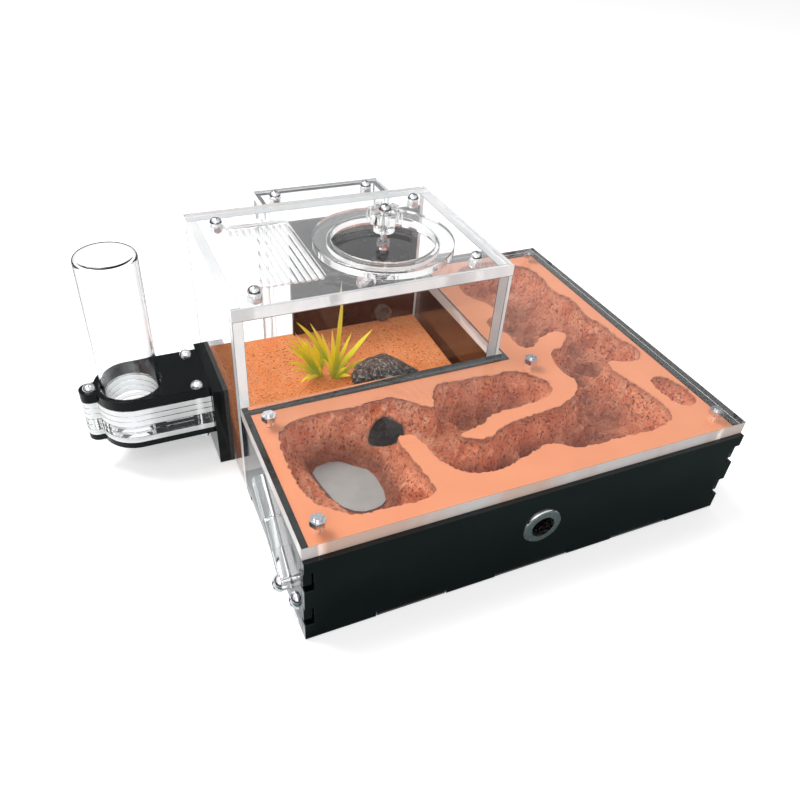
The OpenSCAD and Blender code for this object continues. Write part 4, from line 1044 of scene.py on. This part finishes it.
def white_world(ambient):
    """White for camera, glossy and transmission rays, and a plain soft ambient for the rest."""
    world = bpy.data.worlds.new("studio")
    bpy.context.scene.world = world
    world.use_nodes = True
    tree = world.node_tree
    background = tree.nodes["Background"]
    background.inputs["Color"].default_value = (1.0, 1.0, 1.0, 1.0)
    level = tree.nodes.new("ShaderNodeMapRange")
    level.inputs["To Min"].default_value = ambient
    level.inputs["To Max"].default_value = 1.0
    tree.links.new(ray_is(tree, SEEN_RAYS), level.inputs["Value"])
    tree.links.new(level.outputs[0], background.inputs["Strength"])


def hang_lamp(name, place, target, size, power):
    """A square soft box at a place, aimed at a target."""
    data = bpy.data.lights.new(name, "AREA")
    data.size = size
    data.energy = power
    lamp = bpy.data.objects.new(name, data)
    lamp.location = place
    lamp.rotation_mode = "QUATERNION"
    lamp.rotation_quaternion = (Vector(target) - Vector(place)).to_track_quat("-Z", "Y")
    bpy.context.scene.collection.objects.link(lamp)


def reflected_card(name, points, faces, shade):
    """Studio cloth that only reflections show, hidden from the camera, diffuse light and shadows: a
    painted reflection that gives metal and sheet their depth.
    """
    mesh = bpy.data.meshes.new(name)
    mesh.from_pydata(points, [], faces)
    mesh.materials.append(Finish(name, Base_Color=(*shade, 1.0), Roughness=1.0).material)
    card = bpy.data.objects.new(name, mesh)
    bpy.context.scene.collection.objects.link(card)
    card.visible_camera = False
    card.visible_diffuse = False
    card.visible_transmission = False
    card.visible_shadow = False


def dark_surround(radius, low, high, shade):
    """A dark band all round the studio, seen only in reflections: an upright cylinder's wall."""
    turn = np.arange(BAND_POINTS) * 2.0 * math.pi / BAND_POINTS
    ring = np.stack([radius * np.cos(turn), radius * np.sin(turn)], axis=1)
    points = np.concatenate([np.c_[ring, np.full(BAND_POINTS, z)] for z in (low, high)])
    faces = grid_faces(2, BAND_POINTS, True)
    reflected_card("dark_surround", points.tolist(), faces.tolist(), shade)


lay_floor()
white_world(ambient=0.5)
dark_surround(radius=1.5, low=0.05, high=0.75, shade=(0.03, 0.032, 0.035))
# Painted reflections: a dark cloth in front, mirrored in the black front wall as shade on the floor
# before it; a pale one beside the left wall and a grey one behind
reflected_card("front_cloth", rectangle(-0.3, -0.5, 0.4, -0.0425, CLOTH_Z), ONE_FACE,
               (0.11, 0.15, 0.145))
reflected_card("side_cloth", rectangle(-0.3, -0.0425, -0.1012, 0.055, CLOTH_Z), ONE_FACE,
               (0.88, 0.93, 0.95))
REAR_CLOTH = [(-0.36, 1.0, 0.05), (0.92, 0.33, 0.05), (0.8, 0.2, 1.15), (-0.5, 0.85, 1.15)]
reflected_card("rear_cloth", REAR_CLOTH, ONE_FACE, (0.4, 0.42, 0.44))
hang_lamp("rear_softbox", (-0.4, 0.42, 1.05), target=(0.0, 0.03, 0.02), size=0.45, power=8.0)
hang_lamp("front_softbox", (-0.55, -0.75, 1.1), target=(0.0, 0.0, 0.0), size=0.9, power=5.2)

scene = bpy.context.scene
scene.view_settings.view_transform = "Standard"
